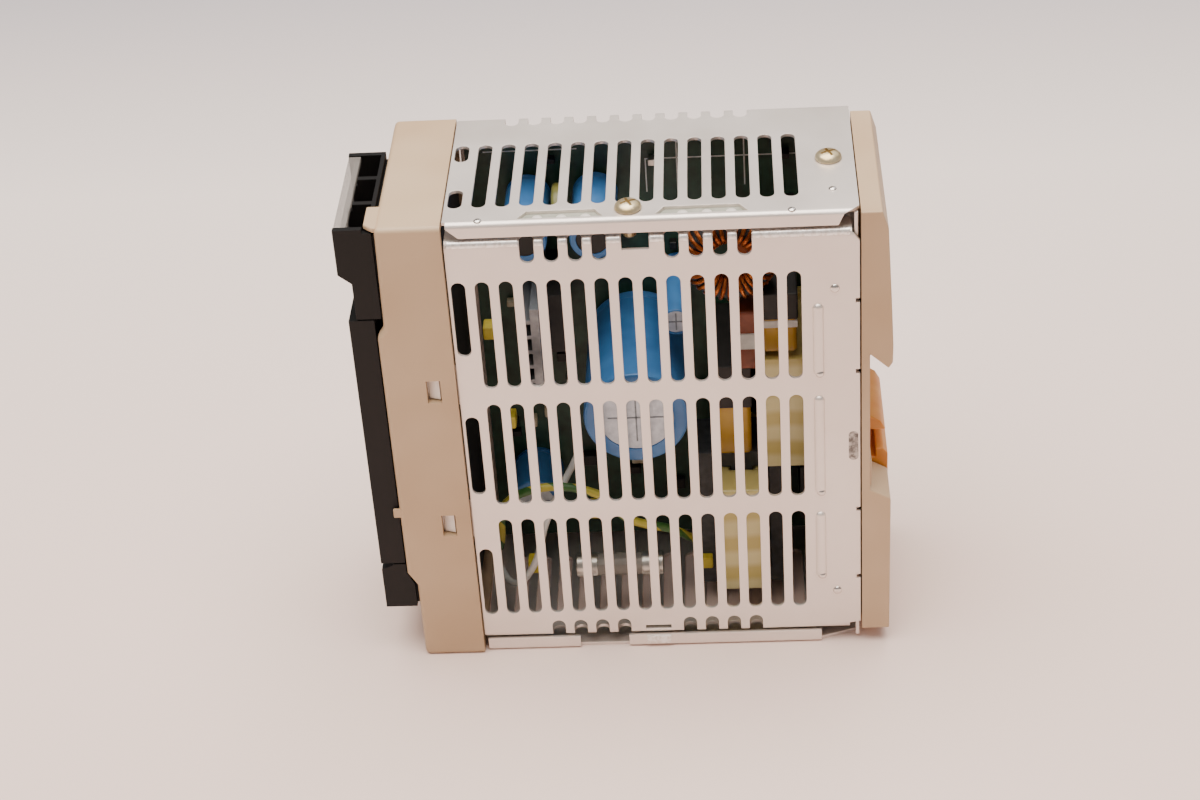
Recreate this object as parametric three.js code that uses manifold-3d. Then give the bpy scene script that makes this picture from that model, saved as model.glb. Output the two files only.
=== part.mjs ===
// DIN rail power supply: a folded sheet-metal case with a beige front bezel and rail base, black
// terminal blocks and front panel, and the boards and components inside. Millimetres, +Z up.
// -X is the front with the terminals, +X the rear with the rail hook, -Y the perforated side cover.
// The origin is the centre of the outer box's base.
import * as THREE from "three";
import { mergeVertices } from "three/addons/utils/BufferGeometryUtils.js";
import Module from "manifold-3d";

const wasm = await Module();
wasm.setup();

// ---- driving dimensions ----
const HEIGHT = 115;
const CASE_WIDTH = 47;
const FRONT_DEPTH = 22.8; // from the terminal block's face to the bezel's rear edge
const CASE_DEPTH = 87.2; // of the folded metal case
const REAR_DEPTH = 6.8; // of the rail base behind the case
const GAP = 0.3; // between pieces that touch
const SHEET = 0.8; // case metal
const BEZEL_PROUD = 1; // bezel beyond the case on each side
const BEZEL_WALL = 2;
const BEZEL_FACE = 8.9; // bezel's recessed front edge behind the terminal face
const BEZEL_LIP = 6.9; // bezel's forward front edge behind the terminal face
const RAISED_FOOT = 20.4; // lower end of the bezel's raised front edge
const PANEL_SETBACK = 1; // front panel's face behind the terminal face
const PITCH = 5.08; // of the ventilation slots
const SLOT_WIDTH = 3.05;
const FIRST_COLUMN = 2.2; // centre of the first slot column behind the case's front edge
const RIB_ZONE = 13.8; // left free of slots at the case's rear
const SLOT_TOP_MARGIN = 14.25;
const SLOT_BOTTOM_MARGIN = 10.8;
const SLOT_ROW_GAP = 4.3;
const SLOT_ROWS = 3;
const COVER_TOP = 4.4; // side cover's bent top edge below the case's top
const COVER_BOTTOM = 3.7; // side cover's lower edge above the case's base
const LIP = 3.5; // case lips that overlap the side cover's flanges
const FLANGE = 5.5; // side cover's inward flanges
const TERMINALS = 3;
const BLOCK_WIDTH = 34;
const BLOCK_WALL = 1.4;
const UPPER_BLOCK_HEIGHT = 22.1;
const LOWER_BLOCK_FOOT = 13.7; // lower terminal block's underside above the base
const LOWER_BLOCK_HEIGHT = 12.3;
const COVER_THICK = 1.2; // terminal covers
const RAIL_HEIGHT = 35; // standard top-hat rail
const RAIL_TOP = 79.2; // upper edge of the rail above the base
const RAIL_CLEARANCE = 0.2;
const HOOK_REACH = 3.7; // how far down the hook's lip laps the rail
const BASE_WIDTH = 45; // rail base
const BASE_FOOT = 4; // rail base's underside above the case's base
const BASE_FLOOR = 1.8; // rail base's wall behind the rail
const STOPPER_WIDTH = 21;
const STOPPER_TRAVEL = 2.6;
const BOARD_THICK = 1.6;
const BOARD_STANDOFF = 3.5; // main board's gap to the far wall
const SCREW_HEAD = 5.8;
const SCREW_HOLE = 1.8;

// ---- places worked out from them ----
const FRONT = -(FRONT_DEPTH + CASE_DEPTH + REAR_DEPTH + 2 * GAP) / 2;
const REAR = -FRONT;
const BEZEL_REAR = FRONT + FRONT_DEPTH;
const CASE_FRONT = BEZEL_REAR + GAP;
const CASE_REAR = CASE_FRONT + CASE_DEPTH;
const BASE_FRONT = CASE_REAR + GAP;
const NEAR = -CASE_WIDTH / 2;
const FAR = CASE_WIDTH / 2;
const BEZEL_HALF = FAR + BEZEL_PROUD;
const COLUMNS = Math.floor((CASE_DEPTH - FIRST_COLUMN - RIB_ZONE) / PITCH) + 1;
const SLOT_LENGTH =
  (HEIGHT - SLOT_TOP_MARGIN - SLOT_BOTTOM_MARGIN - (SLOT_ROWS - 1) * SLOT_ROW_GAP) / SLOT_ROWS;
const BLOCK_NEAR = NEAR + GAP;
const BLOCK_FAR = BLOCK_NEAR + BLOCK_WIDTH;
const CELL_WIDTH = (BLOCK_WIDTH - (TERMINALS + 1) * BLOCK_WALL) / TERMINALS;
const UPPER_TOP = HEIGHT - 0.6;
const UPPER_FOOT = UPPER_TOP - UPPER_BLOCK_HEIGHT;
const LOWER_TOP = LOWER_BLOCK_FOOT + LOWER_BLOCK_HEIGHT;
const PANEL_FACE = FRONT + PANEL_SETBACK;
const BOARD_FAR = FAR - SHEET - BOARD_STANDOFF;
const BOARD_NEAR = BOARD_FAR - BOARD_THICK;

const columnX = (k) => CASE_FRONT + FIRST_COLUMN + k * PITCH;
const cellY = (i) => BLOCK_NEAR + BLOCK_WALL + CELL_WIDTH / 2 + i * (CELL_WIDTH + BLOCK_WALL);

// ---- solids ----
function solid(geometry) {
  geometry.deleteAttribute("normal");
  geometry.deleteAttribute("uv");
  const merged = mergeVertices(geometry, 1e-4);
  return new wasm.Manifold(
    new wasm.Mesh({
      numProp: 3,
      vertProperties: new Float32Array(merged.attributes.position.array),
      triVerts: new Uint32Array(merged.index.array),
    }),
  );
}

function box([x0, x1], [y0, y1], [z0, z1]) {
  const shape = new THREE.BoxGeometry(x1 - x0, y1 - y0, z1 - z0);
  return solid(shape.translate((x0 + x1) / 2, (y0 + y1) / 2, (z0 + z1) / 2));
}

// A cylinder from a to b along one axis, centred on the other two coordinates in their order.
function rod(axis, [a, b], [p, q], radius, sides = 16, endRadius = radius) {
  const shape = new THREE.CylinderGeometry(endRadius, radius, b - a, sides);
  const middle = (a + b) / 2;
  if (axis === "x") return solid(shape.rotateZ(-Math.PI / 2).translate(middle, p, q));
  if (axis === "y") return solid(shape.translate(p, middle, q));
  return solid(shape.rotateX(Math.PI / 2).translate(p, q, middle));
}

const inset = ([a, b], by) => [a + by, b - by];
const outline = (points) => new THREE.Shape(points.map(([a, b]) => new THREE.Vector2(a, b)));
const BASIS = {
  x: new THREE.Matrix4().set(0, 0, 1, 0, 1, 0, 0, 0, 0, 1, 0, 0, 0, 0, 0, 1),
  y: new THREE.Matrix4().set(1, 0, 0, 0, 0, 0, -1, 0, 0, 1, 0, 0, 0, 0, 0, 1),
  z: new THREE.Matrix4(),
};

// A flat outline drawn in the two other axes, in their order, and thickened from a to b along one axis.
function prism(axis, [a, b], shape, curveSegments = 2) {
  const made = new THREE.ExtrudeGeometry(shape, { depth: b - a, bevelEnabled: false, curveSegments });
  made.applyMatrix4(BASIS[axis]);
  const start = axis === "y" ? b : a;
  return solid(made.translate(axis === "x" ? start : 0, axis === "y" ? start : 0, axis === "z" ? start : 0));
}

// A slot with round ends: centre line at p, from q0 to q1.
function slotPath(p, [q0, q1], width = SLOT_WIDTH) {
  const r = width / 2;
  const path = new THREE.Path();
  path.absarc(p, q1 - r, r, 0, Math.PI, false);
  path.absarc(p, q0 + r, r, Math.PI, 2 * Math.PI, false);
  path.closePath();
  return path;
}

const slotPrism = (axis, span, p, q, width) =>
  prism(axis, span, new THREE.Shape(slotPath(p, q, width).getPoints(2)));

const joined = (first, ...rest) => rest.reduce((sum, next) => sum.add(next), first);
const cut = (first, ...rest) => rest.reduce((sum, next) => sum.subtract(next), first);
const range = (n, from = 0) => Array.from({ length: n }, (_, i) => from + i);

// ---- materials ----
const finish = (color, roughness, metalness = 0, opacity = 1) =>
  new THREE.MeshStandardMaterial({ color, roughness, metalness, opacity, transparent: opacity < 1 });
const steel = finish(0xcfc6bf, 0.45, 0.6);
const zinc = finish(0xc8b48a, 0.35, 1);
const beige = finish(0xcdb79f, 0.6);
const black = finish(0x231f1f, 0.5);
const smoke = finish(0x8a8683, 0.2, 0, 0.5);
const amber = finish(0xd08a34, 0.4);
const pcb = finish(0x2c5a3a, 0.5);
const sleeveBlue = finish(0x3a7fc4, 0.4);
const ferrite = finish(0x3b3d40, 0.7);
const tape = finish(0xd9c98c, 0.6);
const copper = finish(0xb5642f, 0.35, 1);
const aluminium = finish(0xb9bcc0, 0.4, 1);
const mustard = finish(0xb08a2c, 0.6);
const white = finish(0xe6e4de, 0.5);
const ledGreen = finish(0x7fd08a, 0.3, 0, 0.7);
const ledRed = finish(0xd0685f, 0.3, 0, 0.7);

const part = new THREE.Group();

// A named mesh from a solid, with hard edges.
function add(name, body, material) {
  const { vertProperties, triVerts } = body.getMesh();
  const geometry = new THREE.BufferGeometry();
  geometry.setAttribute("position", new THREE.BufferAttribute(new Float32Array(vertProperties), 3));
  geometry.setIndex(new THREE.BufferAttribute(new Uint32Array(triVerts), 1));
  const flat = geometry.toNonIndexed();
  flat.computeVertexNormals();
  const mesh = new THREE.Mesh(flat, material);
  mesh.name = name;
  part.add(mesh);
}

// ---- folded case: far wall, top and bottom sheets and the lips that lap the side cover ----
const SHORT_SLOTS = range(COLUMNS).filter((k) => (k >= 3 && k <= 6) || (k >= 9 && k <= 12));
const LIP_FRONT = CASE_FRONT + 0.7;
const LIP_REAR = CASE_REAR - 9;
const TOP_LIP_REAR = CASE_REAR - 3.2;
const FINGERS = [columnX(4) - 0.3, columnX(6) + 0.9]; // opening in the bottom lip for the cover's fingers
const SCREW_Y = NEAR + 4.3;
const REAR_SCREW = [CASE_REAR - 5.5, NEAR + 22.6];
const SIDE_SCREW = [columnX(7) + 1.3, SCREW_Y];
const SHEET_SLOT = [NEAR + 7, NEAR + 34.4];

function foldedCase() {
  const skin = joined(
    box([CASE_FRONT, CASE_REAR], [FAR - SHEET, FAR], [0, HEIGHT]),
    box([CASE_FRONT, CASE_REAR], [NEAR, FAR], [HEIGHT - SHEET, HEIGHT]),
    box([CASE_FRONT, CASE_REAR], [NEAR, FAR], [0, SHEET]),
    box([LIP_FRONT, TOP_LIP_REAR], [NEAR, NEAR + SHEET], [HEIGHT - LIP, HEIGHT]),
    box([LIP_FRONT, FINGERS[0]], [NEAR, NEAR + SHEET], [0, LIP]),
    box([FINGERS[1], LIP_REAR], [NEAR, NEAR + SHEET], [0, LIP]),
  );
  const through = [HEIGHT - 2, HEIGHT + 1];
  const below = [-1, 2];
  const slots = range(COLUMNS - 1, 1).flatMap((k) => [
    slotPrism("z", through, columnX(k), SHEET_SLOT),
    slotPrism("z", below, columnX(k), SHEET_SLOT),
  ]);
  const short = [
    slotPrism("z", through, columnX(0), [SHEET_SLOT[0], SHEET_SLOT[0] + 7.7]),
    slotPrism("z", through, columnX(0), [SHEET_SLOT[1] - 7.2, SHEET_SLOT[1]]),
  ];
  const wrapped = range(COLUMNS - 4, 2).map((k) =>
    box([columnX(k) - SLOT_WIDTH / 2, columnX(k) + SLOT_WIDTH / 2], [FAR - 4, FAR + 1],
      [HEIGHT - 5.5, HEIGHT + 1]),
  );
  const holes = [SIDE_SCREW, REAR_SCREW].map((at) => rod("z", through, at, SCREW_HOLE, 12));
  return cut(skin, ...slots, ...short, ...wrapped, ...holes);
}

// ---- perforated side cover: a flat panel with inward flanges and two tongues under the bezel ----
const WINDOW_Z = [HEIGHT - 41.2, HEIGHT - 77.55]; // centres of the bezel's side windows
const WINDOW_HALF = 2.9;
const WINDOW_X = [BEZEL_REAR - 6.55, BEZEL_REAR - 3.4];
const TONGUE_Y = [-BEZEL_HALF + BEZEL_WALL + GAP, -BEZEL_HALF + BEZEL_WALL + GAP + SHEET];
const FIRST_TRIM = [[8.5, 0], [3, 3.2], [0, 8.2]]; // shortening of the first column, from the top row down
const RIBS = [[1, 8.3], [0.5, 0.3], [8.4, 0.3]]; // the ribs' ends inside their slot row, bottom and top

const rowFoot = (row) => HEIGHT - SLOT_TOP_MARGIN - SLOT_LENGTH - row * (SLOT_LENGTH + SLOT_ROW_GAP);

function sideCover() {
  const top = HEIGHT - COVER_TOP;
  const face = outline([
    [CASE_FRONT, COVER_BOTTOM], [FINGERS[0] + 0.4, COVER_BOTTOM], [FINGERS[0] + 0.4, 1.4],
    [FINGERS[1] - 0.4, 1.4], [FINGERS[1] - 0.4, COVER_BOTTOM], [CASE_REAR, COVER_BOTTOM],
    [CASE_REAR, top - 4], [CASE_REAR - 3, top], [CASE_FRONT, top],
  ]);
  for (const row of range(SLOT_ROWS)) {
    for (const k of range(COLUMNS)) {
      const [low, high] = k === 0 ? FIRST_TRIM[row % FIRST_TRIM.length] : [0, 0];
      const foot = rowFoot(row);
      face.holes.push(slotPath(columnX(k), [foot + low, foot + SLOT_LENGTH - high]));
    }
  }
  const inside = [NEAR, NEAR + FLANGE];
  const flangeRear = CASE_REAR - SHEET - 1;
  const cover = joined(
    prism("y", [NEAR, NEAR + SHEET], face),
    box([CASE_FRONT, flangeRear - 2], inside, [top - SHEET, top]),
    box([CASE_FRONT, flangeRear], inside, [COVER_BOTTOM, COVER_BOTTOM + SHEET]),
    ...WINDOW_Z.flatMap((z) => [
      box([CASE_FRONT, CASE_FRONT + 1], [NEAR, TONGUE_Y[1]], [z - 5, z + 5]),
      box([WINDOW_X[0] - 2, CASE_FRONT + 1], TONGUE_Y, [z - 5, z + 5]),
      prism("z", [z - WINDOW_HALF + GAP, z + WINDOW_HALF - GAP], outline([
        [WINDOW_X[0] + GAP, TONGUE_Y[1]], [WINDOW_X[0] + GAP, TONGUE_Y[0]],
        [WINDOW_X[1] - 2 * GAP, NEAR - 0.4], [WINDOW_X[1] - GAP, NEAR - 0.4],
        [WINDOW_X[1] - GAP, TONGUE_Y[1]],
      ])),
    ]),
    ...range(SLOT_ROWS).map((row) => {
      const [low, high] = RIBS[row % RIBS.length];
      const x = CASE_REAR - 8.9;
      const foot = rowFoot(row);
      return slotPrism("y", [NEAR - 0.4, NEAR + SHEET], x, [foot + low, foot + SLOT_LENGTH - high], 2.4);
    }),
  );
  const wide = (k) => [columnX(k) - SLOT_WIDTH / 2, columnX(k) + SLOT_WIDTH / 2];
  const middle = (columnX(7) + columnX(8)) / 2;
  return cut(
    cover,
    ...SHORT_SLOTS.flatMap((k) => [
      box(wide(k), [NEAR - 1, NEAR + 3], [top - 5.5, top + 1]),
      box(wide(k), [NEAR - 1, NEAR + 3], [k < 7 ? 0 : 2.4, 6.3]),
    ]),
    box([middle - 2.9, middle + 2.9], [NEAR - 1, NEAR + 3], [top - 3.1, top + 1]),
    rod("z", [top - 2, top + 1], SIDE_SCREW, SCREW_HOLE, 12),
  );
}

// ---- rear plate inside the case, which the rail base is fixed to ----
const PLATE_X = [CASE_REAR - SHEET - 0.3, CASE_REAR - 0.3];
function rearPlate() {
  const plate = box(PLATE_X, [NEAR + SHEET + GAP, FAR - SHEET - GAP], [SHEET + GAP, HEIGHT - SHEET - GAP]);
  const middle = -1.5;
  const vents = range(5, -2).map((i) => slotPrism("x", [PLATE_X[0] - 1, PLATE_X[1] + 1],
    middle + i * PITCH * 1.5, [HEIGHT - 24, HEIGHT - 10]));
  return cut(plate, ...vents);
}

add("folded_case", foldedCase(), steel);
add("side_cover", sideCover(), steel);
add("rear_plate", rearPlate(), steel);

// ---- front bezel: a beige moulded frame ----
const INNER_NEAR = -BEZEL_HALF + BEZEL_WALL;
const INNER_FAR = BEZEL_HALF - BEZEL_WALL;
const BEZEL_X = FRONT + BEZEL_FACE;
const LIP_X = FRONT + BEZEL_LIP;
const PANEL_TOP = UPPER_FOOT - GAP;
const PANEL_FOOT = LOWER_TOP + GAP;
const SHELF = [BEZEL_X - 2.4, BEZEL_X + 1]; // forward top edge beside the first terminal
const SHELF_FAR = NEAR + 9.2;
const SHELF_THICK = 1.2;
const STEP = 0.4; // the recessed front edge leans forward this much above the raised stretch
const RAISED = [RAISED_FOOT, RAISED_FOOT + 3.5, HEIGHT - 26.6, HEIGHT - 24.9]; // its slopes' ends
const NOSE_BACK = BEZEL_X - STEP - GAP;

function frontBezel() {
  const profile = outline([
    [BEZEL_REAR, 0], [BEZEL_REAR, HEIGHT], [BEZEL_X, HEIGHT], [BEZEL_X - STEP, RAISED[3]],
    [LIP_X, RAISED[2]], [LIP_X, RAISED[1]], [BEZEL_X, RAISED[0]], [BEZEL_X, 0],
  ]);
  const through = [FRONT, BEZEL_X + BEZEL_WALL + 1];
  const frame = cut(
    prism("y", [-BEZEL_HALF, BEZEL_HALF], profile),
    box([BEZEL_X + BEZEL_WALL, BEZEL_REAR + 1], [INNER_NEAR, INNER_FAR], [BEZEL_WALL, HEIGHT - BEZEL_WALL]),
    box(through, [INNER_NEAR, INNER_FAR], [LOWER_BLOCK_FOOT - GAP, UPPER_FOOT]),
    box(through, [INNER_NEAR, BLOCK_FAR + GAP], [UPPER_FOOT - 1, HEIGHT - BEZEL_WALL]),
    ...WINDOW_Z.map((z) => box(WINDOW_X, [-BEZEL_HALF - 1, 0], [z - WINDOW_HALF, z + WINDOW_HALF])),
  );
  const shelf = prism("z", [HEIGHT - SHELF_THICK, HEIGHT], outline([
    [SHELF[1], -BEZEL_HALF + 0.2], [SHELF[1], SHELF_FAR], [SHELF[0], SHELF_FAR],
    [SHELF[0], -BEZEL_HALF + 2.2], [BEZEL_X, -BEZEL_HALF + 0.2],
  ]));
  const catchTab = box([LIP_X - 1.4, LIP_X + 1], [-BEZEL_HALF + 0.3, NEAR], [HEIGHT - 75.1, HEIGHT - 72.8]);
  return joined(frame, shelf, catchTab);
}
add("front_bezel", frontBezel(), beige);

// ---- terminal blocks, each with its cells, plates, screws and hinged cover ----
const CELL_BACK = BEZEL_X + 4.6;
const BLOCK_BACK_X = CELL_BACK + 1.5;
const COVER_HEIGHT = 9.6;
const COVER_STRIP = 2.8;
const COVER_NEAR = BLOCK_NEAR + BLOCK_WALL + GAP;
const COVER_FAR = BLOCK_FAR - BLOCK_WALL - GAP;

// sign +1 opens the cells upwards, -1 downwards; end is the block's open end.
function terminalBlock(front, root, end, sign) {
  const tall = Math.abs(end - root);
  const z = (fromEnd) => end - sign * fromEnd;
  const slab = (a, b) => [Math.min(z(a), z(b)), Math.max(z(a), z(b))];
  const waist = front + COVER_STRIP;
  const side = outline([
    ...(sign > 0
      ? [[NOSE_BACK, z(tall)]]
      : [[NOSE_BACK, RAISED[0] - GAP], [LIP_X - GAP, RAISED[1] - GAP], [LIP_X - GAP, z(tall)]]),
    [waist, z(tall)], [waist, z(Math.min(13.2, tall - 0.2))],
    [front, z(Math.min(10.9, tall - 0.4))], [front, z(0)], [NOSE_BACK, z(0)],
  ]);
  const nose = prism("y", [BLOCK_NEAR, BLOCK_FAR], side);
  const body = box([LIP_X - GAP - 1, BLOCK_BACK_X], [INNER_NEAR + GAP, BLOCK_FAR - GAP],
    slab(sign > 0 ? BEZEL_WALL + GAP - (HEIGHT - UPPER_TOP) : 0.6, tall - 0.3));
  const cells = range(TERMINALS).flatMap((i) => {
    const y = [cellY(i) - CELL_WIDTH / 2, cellY(i) + CELL_WIDTH / 2];
    return [
      box([front + COVER_THICK + GAP, CELL_BACK], y, slab(sign > 0 ? 2.4 : 1.6, 9.8)),
      box([front + COVER_THICK + GAP, NOSE_BACK - 0.9], y, slab(-1, 3)),
    ];
  });
  const seat = [
    box([front - 1, front + COVER_THICK + 2 * GAP], [COVER_NEAR - GAP, COVER_FAR + GAP], slab(-1, 9.9)),
    box([front - 1, front + COVER_STRIP + GAP], [COVER_NEAR - GAP, COVER_FAR + GAP],
      slab(-1, COVER_THICK + GAP)),
  ];
  return cut(joined(nose, body), ...cells, ...seat);
}

const shelfRoom = box([SHELF[0] - GAP, BEZEL_X + 1], [-BEZEL_HALF, SHELF_FAR + GAP],
  [HEIGHT - SHELF_THICK - GAP, HEIGHT]);
add("upper_terminal_block", cut(terminalBlock(FRONT, UPPER_FOOT, UPPER_TOP, 1), shelfRoom), black);
add("lower_terminal_block", terminalBlock(PANEL_FACE, LOWER_TOP, LOWER_BLOCK_FOOT, -1), black);

function terminalCover(front, end, sign) {
  const z = (fromEnd) => end - sign * fromEnd;
  const edge = 0.1;
  return prism("y", [COVER_NEAR, COVER_FAR], outline([
    [front + 0.1, z(COVER_HEIGHT)], [front + COVER_THICK, z(COVER_HEIGHT)],
    [front + COVER_THICK, z(edge + COVER_THICK)], [front + COVER_STRIP, z(edge + COVER_THICK)],
    [front + COVER_STRIP, z(edge)], [front + 0.1, z(edge)],
  ]));
}
add("upper_terminal_cover", terminalCover(FRONT, UPPER_TOP, 1), smoke);
add("lower_terminal_cover", terminalCover(PANEL_FACE, LOWER_BLOCK_FOOT, -1), smoke);

const TERMINAL_PLATE = 1;
const TERMINAL_HEAD = 6.6;
for (const [row, z] of [["upper", UPPER_TOP - 6.1], ["lower", LOWER_BLOCK_FOOT + 5.7]]) {
  for (const i of range(TERMINALS)) {
    const y = cellY(i);
    const back = CELL_BACK - GAP;
    const half = CELL_WIDTH / 2 - GAP;
    const plate = box([back - TERMINAL_PLATE, back], [y - half, y + half], [z - 3.4, z + 3.4]);
    const bore = rod("x", [back - 2, back + 1], [y, z], 2.1, 12);
    add(`${row}_terminal_plate_${i + 1}`, plate.subtract(bore), zinc);
    const headBack = back - TERMINAL_PLATE - 1.4;
    const screw = joined(
      rod("x", [headBack - 2, headBack], [y, z], TERMINAL_HEAD / 2, 12),
      rod("x", [headBack - 0.1, back], [y, z], 1.75, 12),
      box([headBack, headBack + 1], [y - 3.6, y + 3.6], [z - 3.2, z + 3.2]),
    );
    const slot = box([headBack - 3, headBack - 1], [y - 2.4, y + 2.4], [z - 0.5, z + 0.5]);
    const cross = box([headBack - 3, headBack - 1], [y - 0.5, y + 0.5], [z - 2.4, z + 2.4]);
    add(`${row}_terminal_screw_${i + 1}`, cut(screw, slot, cross), zinc);
  }
}

// ---- front panel between the blocks, with the display, keys, trimmer and lamps ----
const PANEL_THICK = 1.6;
const PANEL_WALL = 1.6; // rim round the front panel's back
const KEY_Z = HEIGHT - 56;
const KEYS = [["down", -9], ["mode", 0], ["up", 9]];
const KEY_SIZE = [5, 3.4];
const KEY_PROUD = 0.7;
const DISPLAY = { y: [-12, 12], z: [HEIGHT - 47, HEIGHT - 33] };
const TRIMMER = { y: 12, z: HEIGHT - 68, radius: 2.6 };
const LAMPS = [["output_on_lamp", -12, ledGreen], ["alarm_lamp", -5, ledRed]];
const LAMP_RADIUS = 1.5;
const LAMP_Z = TRIMMER.z;
const FRONT_BOARD = [PANEL_FACE + 10, PANEL_FACE + 10 + BOARD_THICK];

function frontPanel() {
  const z = [PANEL_FOOT, PANEL_TOP];
  const back = LIP_X - GAP;
  const shell = cut(
    box([PANEL_FACE, back], [BLOCK_NEAR, -BLOCK_NEAR], z),
    box([PANEL_FACE + PANEL_THICK, back + 1], inset([BLOCK_NEAR, -BLOCK_NEAR], PANEL_WALL),
      inset(z, PANEL_WALL)),
  );
  const tabs = [z[0] + 12, z[1] - 12].flatMap((at) => [
    box([PANEL_FACE + 1, LIP_X + 7], [INNER_NEAR + GAP, INNER_NEAR + GAP + 1.2], [at - 4, at + 4]),
    box([PANEL_FACE + 1, LIP_X + 7], [INNER_FAR - GAP - 1.2, INNER_FAR - GAP], [at - 4, at + 4]),
  ]);
  const infill = box([PANEL_FACE, NOSE_BACK - 2], [BLOCK_FAR + GAP, -BLOCK_NEAR],
    [LOWER_BLOCK_FOOT, z[0] + 1]);
  const through = [PANEL_FACE - 1, PANEL_FACE + PANEL_THICK + 1];
  const [keyWide, keyTall] = KEY_SIZE;
  return cut(
    joined(shell, ...tabs, infill),
    box(through, DISPLAY.y, DISPLAY.z),
    ...KEYS.map(([, y]) => box(through, [y - keyWide / 2 - GAP, y + keyWide / 2 + GAP],
      [KEY_Z - keyTall / 2 - GAP, KEY_Z + keyTall / 2 + GAP])),
    rod("x", through, [TRIMMER.y, TRIMMER.z], TRIMMER.radius + GAP, 20),
    ...LAMPS.map(([, y]) => rod("x", through, [y, LAMP_Z], LAMP_RADIUS + GAP, 12)),
  );
}
add("front_panel", frontPanel(), black);

add("display_window", joined(
  box([PANEL_FACE + 0.2, PANEL_FACE + PANEL_THICK + GAP + 0.1], inset(DISPLAY.y, GAP), inset(DISPLAY.z, GAP)),
  box([PANEL_FACE + PANEL_THICK + GAP, PANEL_FACE + PANEL_THICK + GAP + 1], inset(DISPLAY.y, -1.5),
    inset(DISPLAY.z, -1.5)),
), smoke);
const MODULE_X = [PANEL_FACE + PANEL_THICK + 2 * GAP + 1, FRONT_BOARD[0] - GAP];
add("display_module", box(MODULE_X, inset(DISPLAY.y, 0.5), inset(DISPLAY.z, 1)), white);

for (const [name, y] of KEYS) {
  const [wide, tall] = KEY_SIZE;
  const back = PANEL_FACE + PANEL_THICK + 1.1;
  const cap = box([PANEL_FACE - KEY_PROUD, back], [y - wide / 2, y + wide / 2],
    [KEY_Z - tall / 2, KEY_Z + tall / 2]);
  const flange = box([PANEL_FACE + PANEL_THICK + 0.6, back + 0.6], [y - wide / 2 - 0.9, y + wide / 2 + 0.9],
    [KEY_Z - tall / 2 - 0.9, KEY_Z + tall / 2 + 0.9]);
  const stem = rod("x", [back, FRONT_BOARD[0] - 1.2], [y, KEY_Z], 1.4, 10);
  add(`${name}_key`, joined(cap, flange, stem), finish(0x4a4b4d, 0.55));
}

const trimmerBody = box([PANEL_FACE + PANEL_THICK + 1.4, FRONT_BOARD[0] - GAP],
  [TRIMMER.y - 3.4, TRIMMER.y + 3.4], [TRIMMER.z - 3.4, TRIMMER.z + 3.4]);
add("trimmer_housing", trimmerBody.subtract(rod("x", [PANEL_FACE, FRONT_BOARD[0] - 1.5],
  [TRIMMER.y, TRIMMER.z], TRIMMER.radius, 20)), sleeveBlue);
const knobBack = FRONT_BOARD[0] - 1.5 - GAP;
add("voltage_trimmer", cut(
  rod("x", [PANEL_FACE + 0.3, knobBack], [TRIMMER.y, TRIMMER.z], TRIMMER.radius - 0.15, 20),
  box([PANEL_FACE, PANEL_FACE + 1], [TRIMMER.y - 0.4, TRIMMER.y + 0.4], [TRIMMER.z - 1.9, TRIMMER.z + 1.9]),
  box([PANEL_FACE, PANEL_FACE + 1], [TRIMMER.y - 1.9, TRIMMER.y + 1.9], [TRIMMER.z - 0.4, TRIMMER.z + 0.4]),
), white);
for (const [name, y, lens] of LAMPS) {
  const dome = joined(
    rod("x", [PANEL_FACE - 0.2, FRONT_BOARD[0] - GAP], [y, LAMP_Z], LAMP_RADIUS, 12),
    rod("x", [FRONT_BOARD[0] - GAP - 1, FRONT_BOARD[0] - GAP], [y, LAMP_Z], LAMP_RADIUS + 0.4, 12),
  );
  add(name, dome, lens);
}
add("front_board", box(FRONT_BOARD, [INNER_NEAR + 3, INNER_FAR - 3], [PANEL_FOOT + 3, PANEL_TOP - 3]), pcb);

// ---- rail base: a beige moulding with the fixed hook, cheeks beside the stopper and rail pads ----
const BASE_Y = [-BEZEL_HALF + 0.5, -BEZEL_HALF + 0.5 + BASE_WIDTH];
const BASE_MIDDLE = (BASE_Y[0] + BASE_Y[1]) / 2;
const FLOOR_X = BASE_FRONT + BASE_FLOOR;
const PAD_X = FLOOR_X + 0.4;
const RAIL_FOOT = RAIL_TOP - RAIL_HEIGHT;
const POCKET_TOP = RAIL_TOP + RAIL_CLEARANCE;
const LEDGE = RAIL_FOOT - RAIL_CLEARANCE - 0.4;
const STOPPER_Y = [BASE_MIDDLE - STOPPER_WIDTH / 2, BASE_MIDDLE + STOPPER_WIDTH / 2];
const LATCH_FOOT = 33;
const LATCH_ROOM = STOPPER_TRAVEL + 0.4;
const STOPPER_X = [BASE_FRONT + GAP, FLOOR_X - GAP];
const LATCH_TOP = LEDGE + 2.6; // latch lip behind the rail's lower edge
const TONGUE = [LEDGE + 7.8, LEDGE + 11.5]; // finger tongue above it
const CHANNEL_TOP = TONGUE[1] + 1.5;

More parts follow.
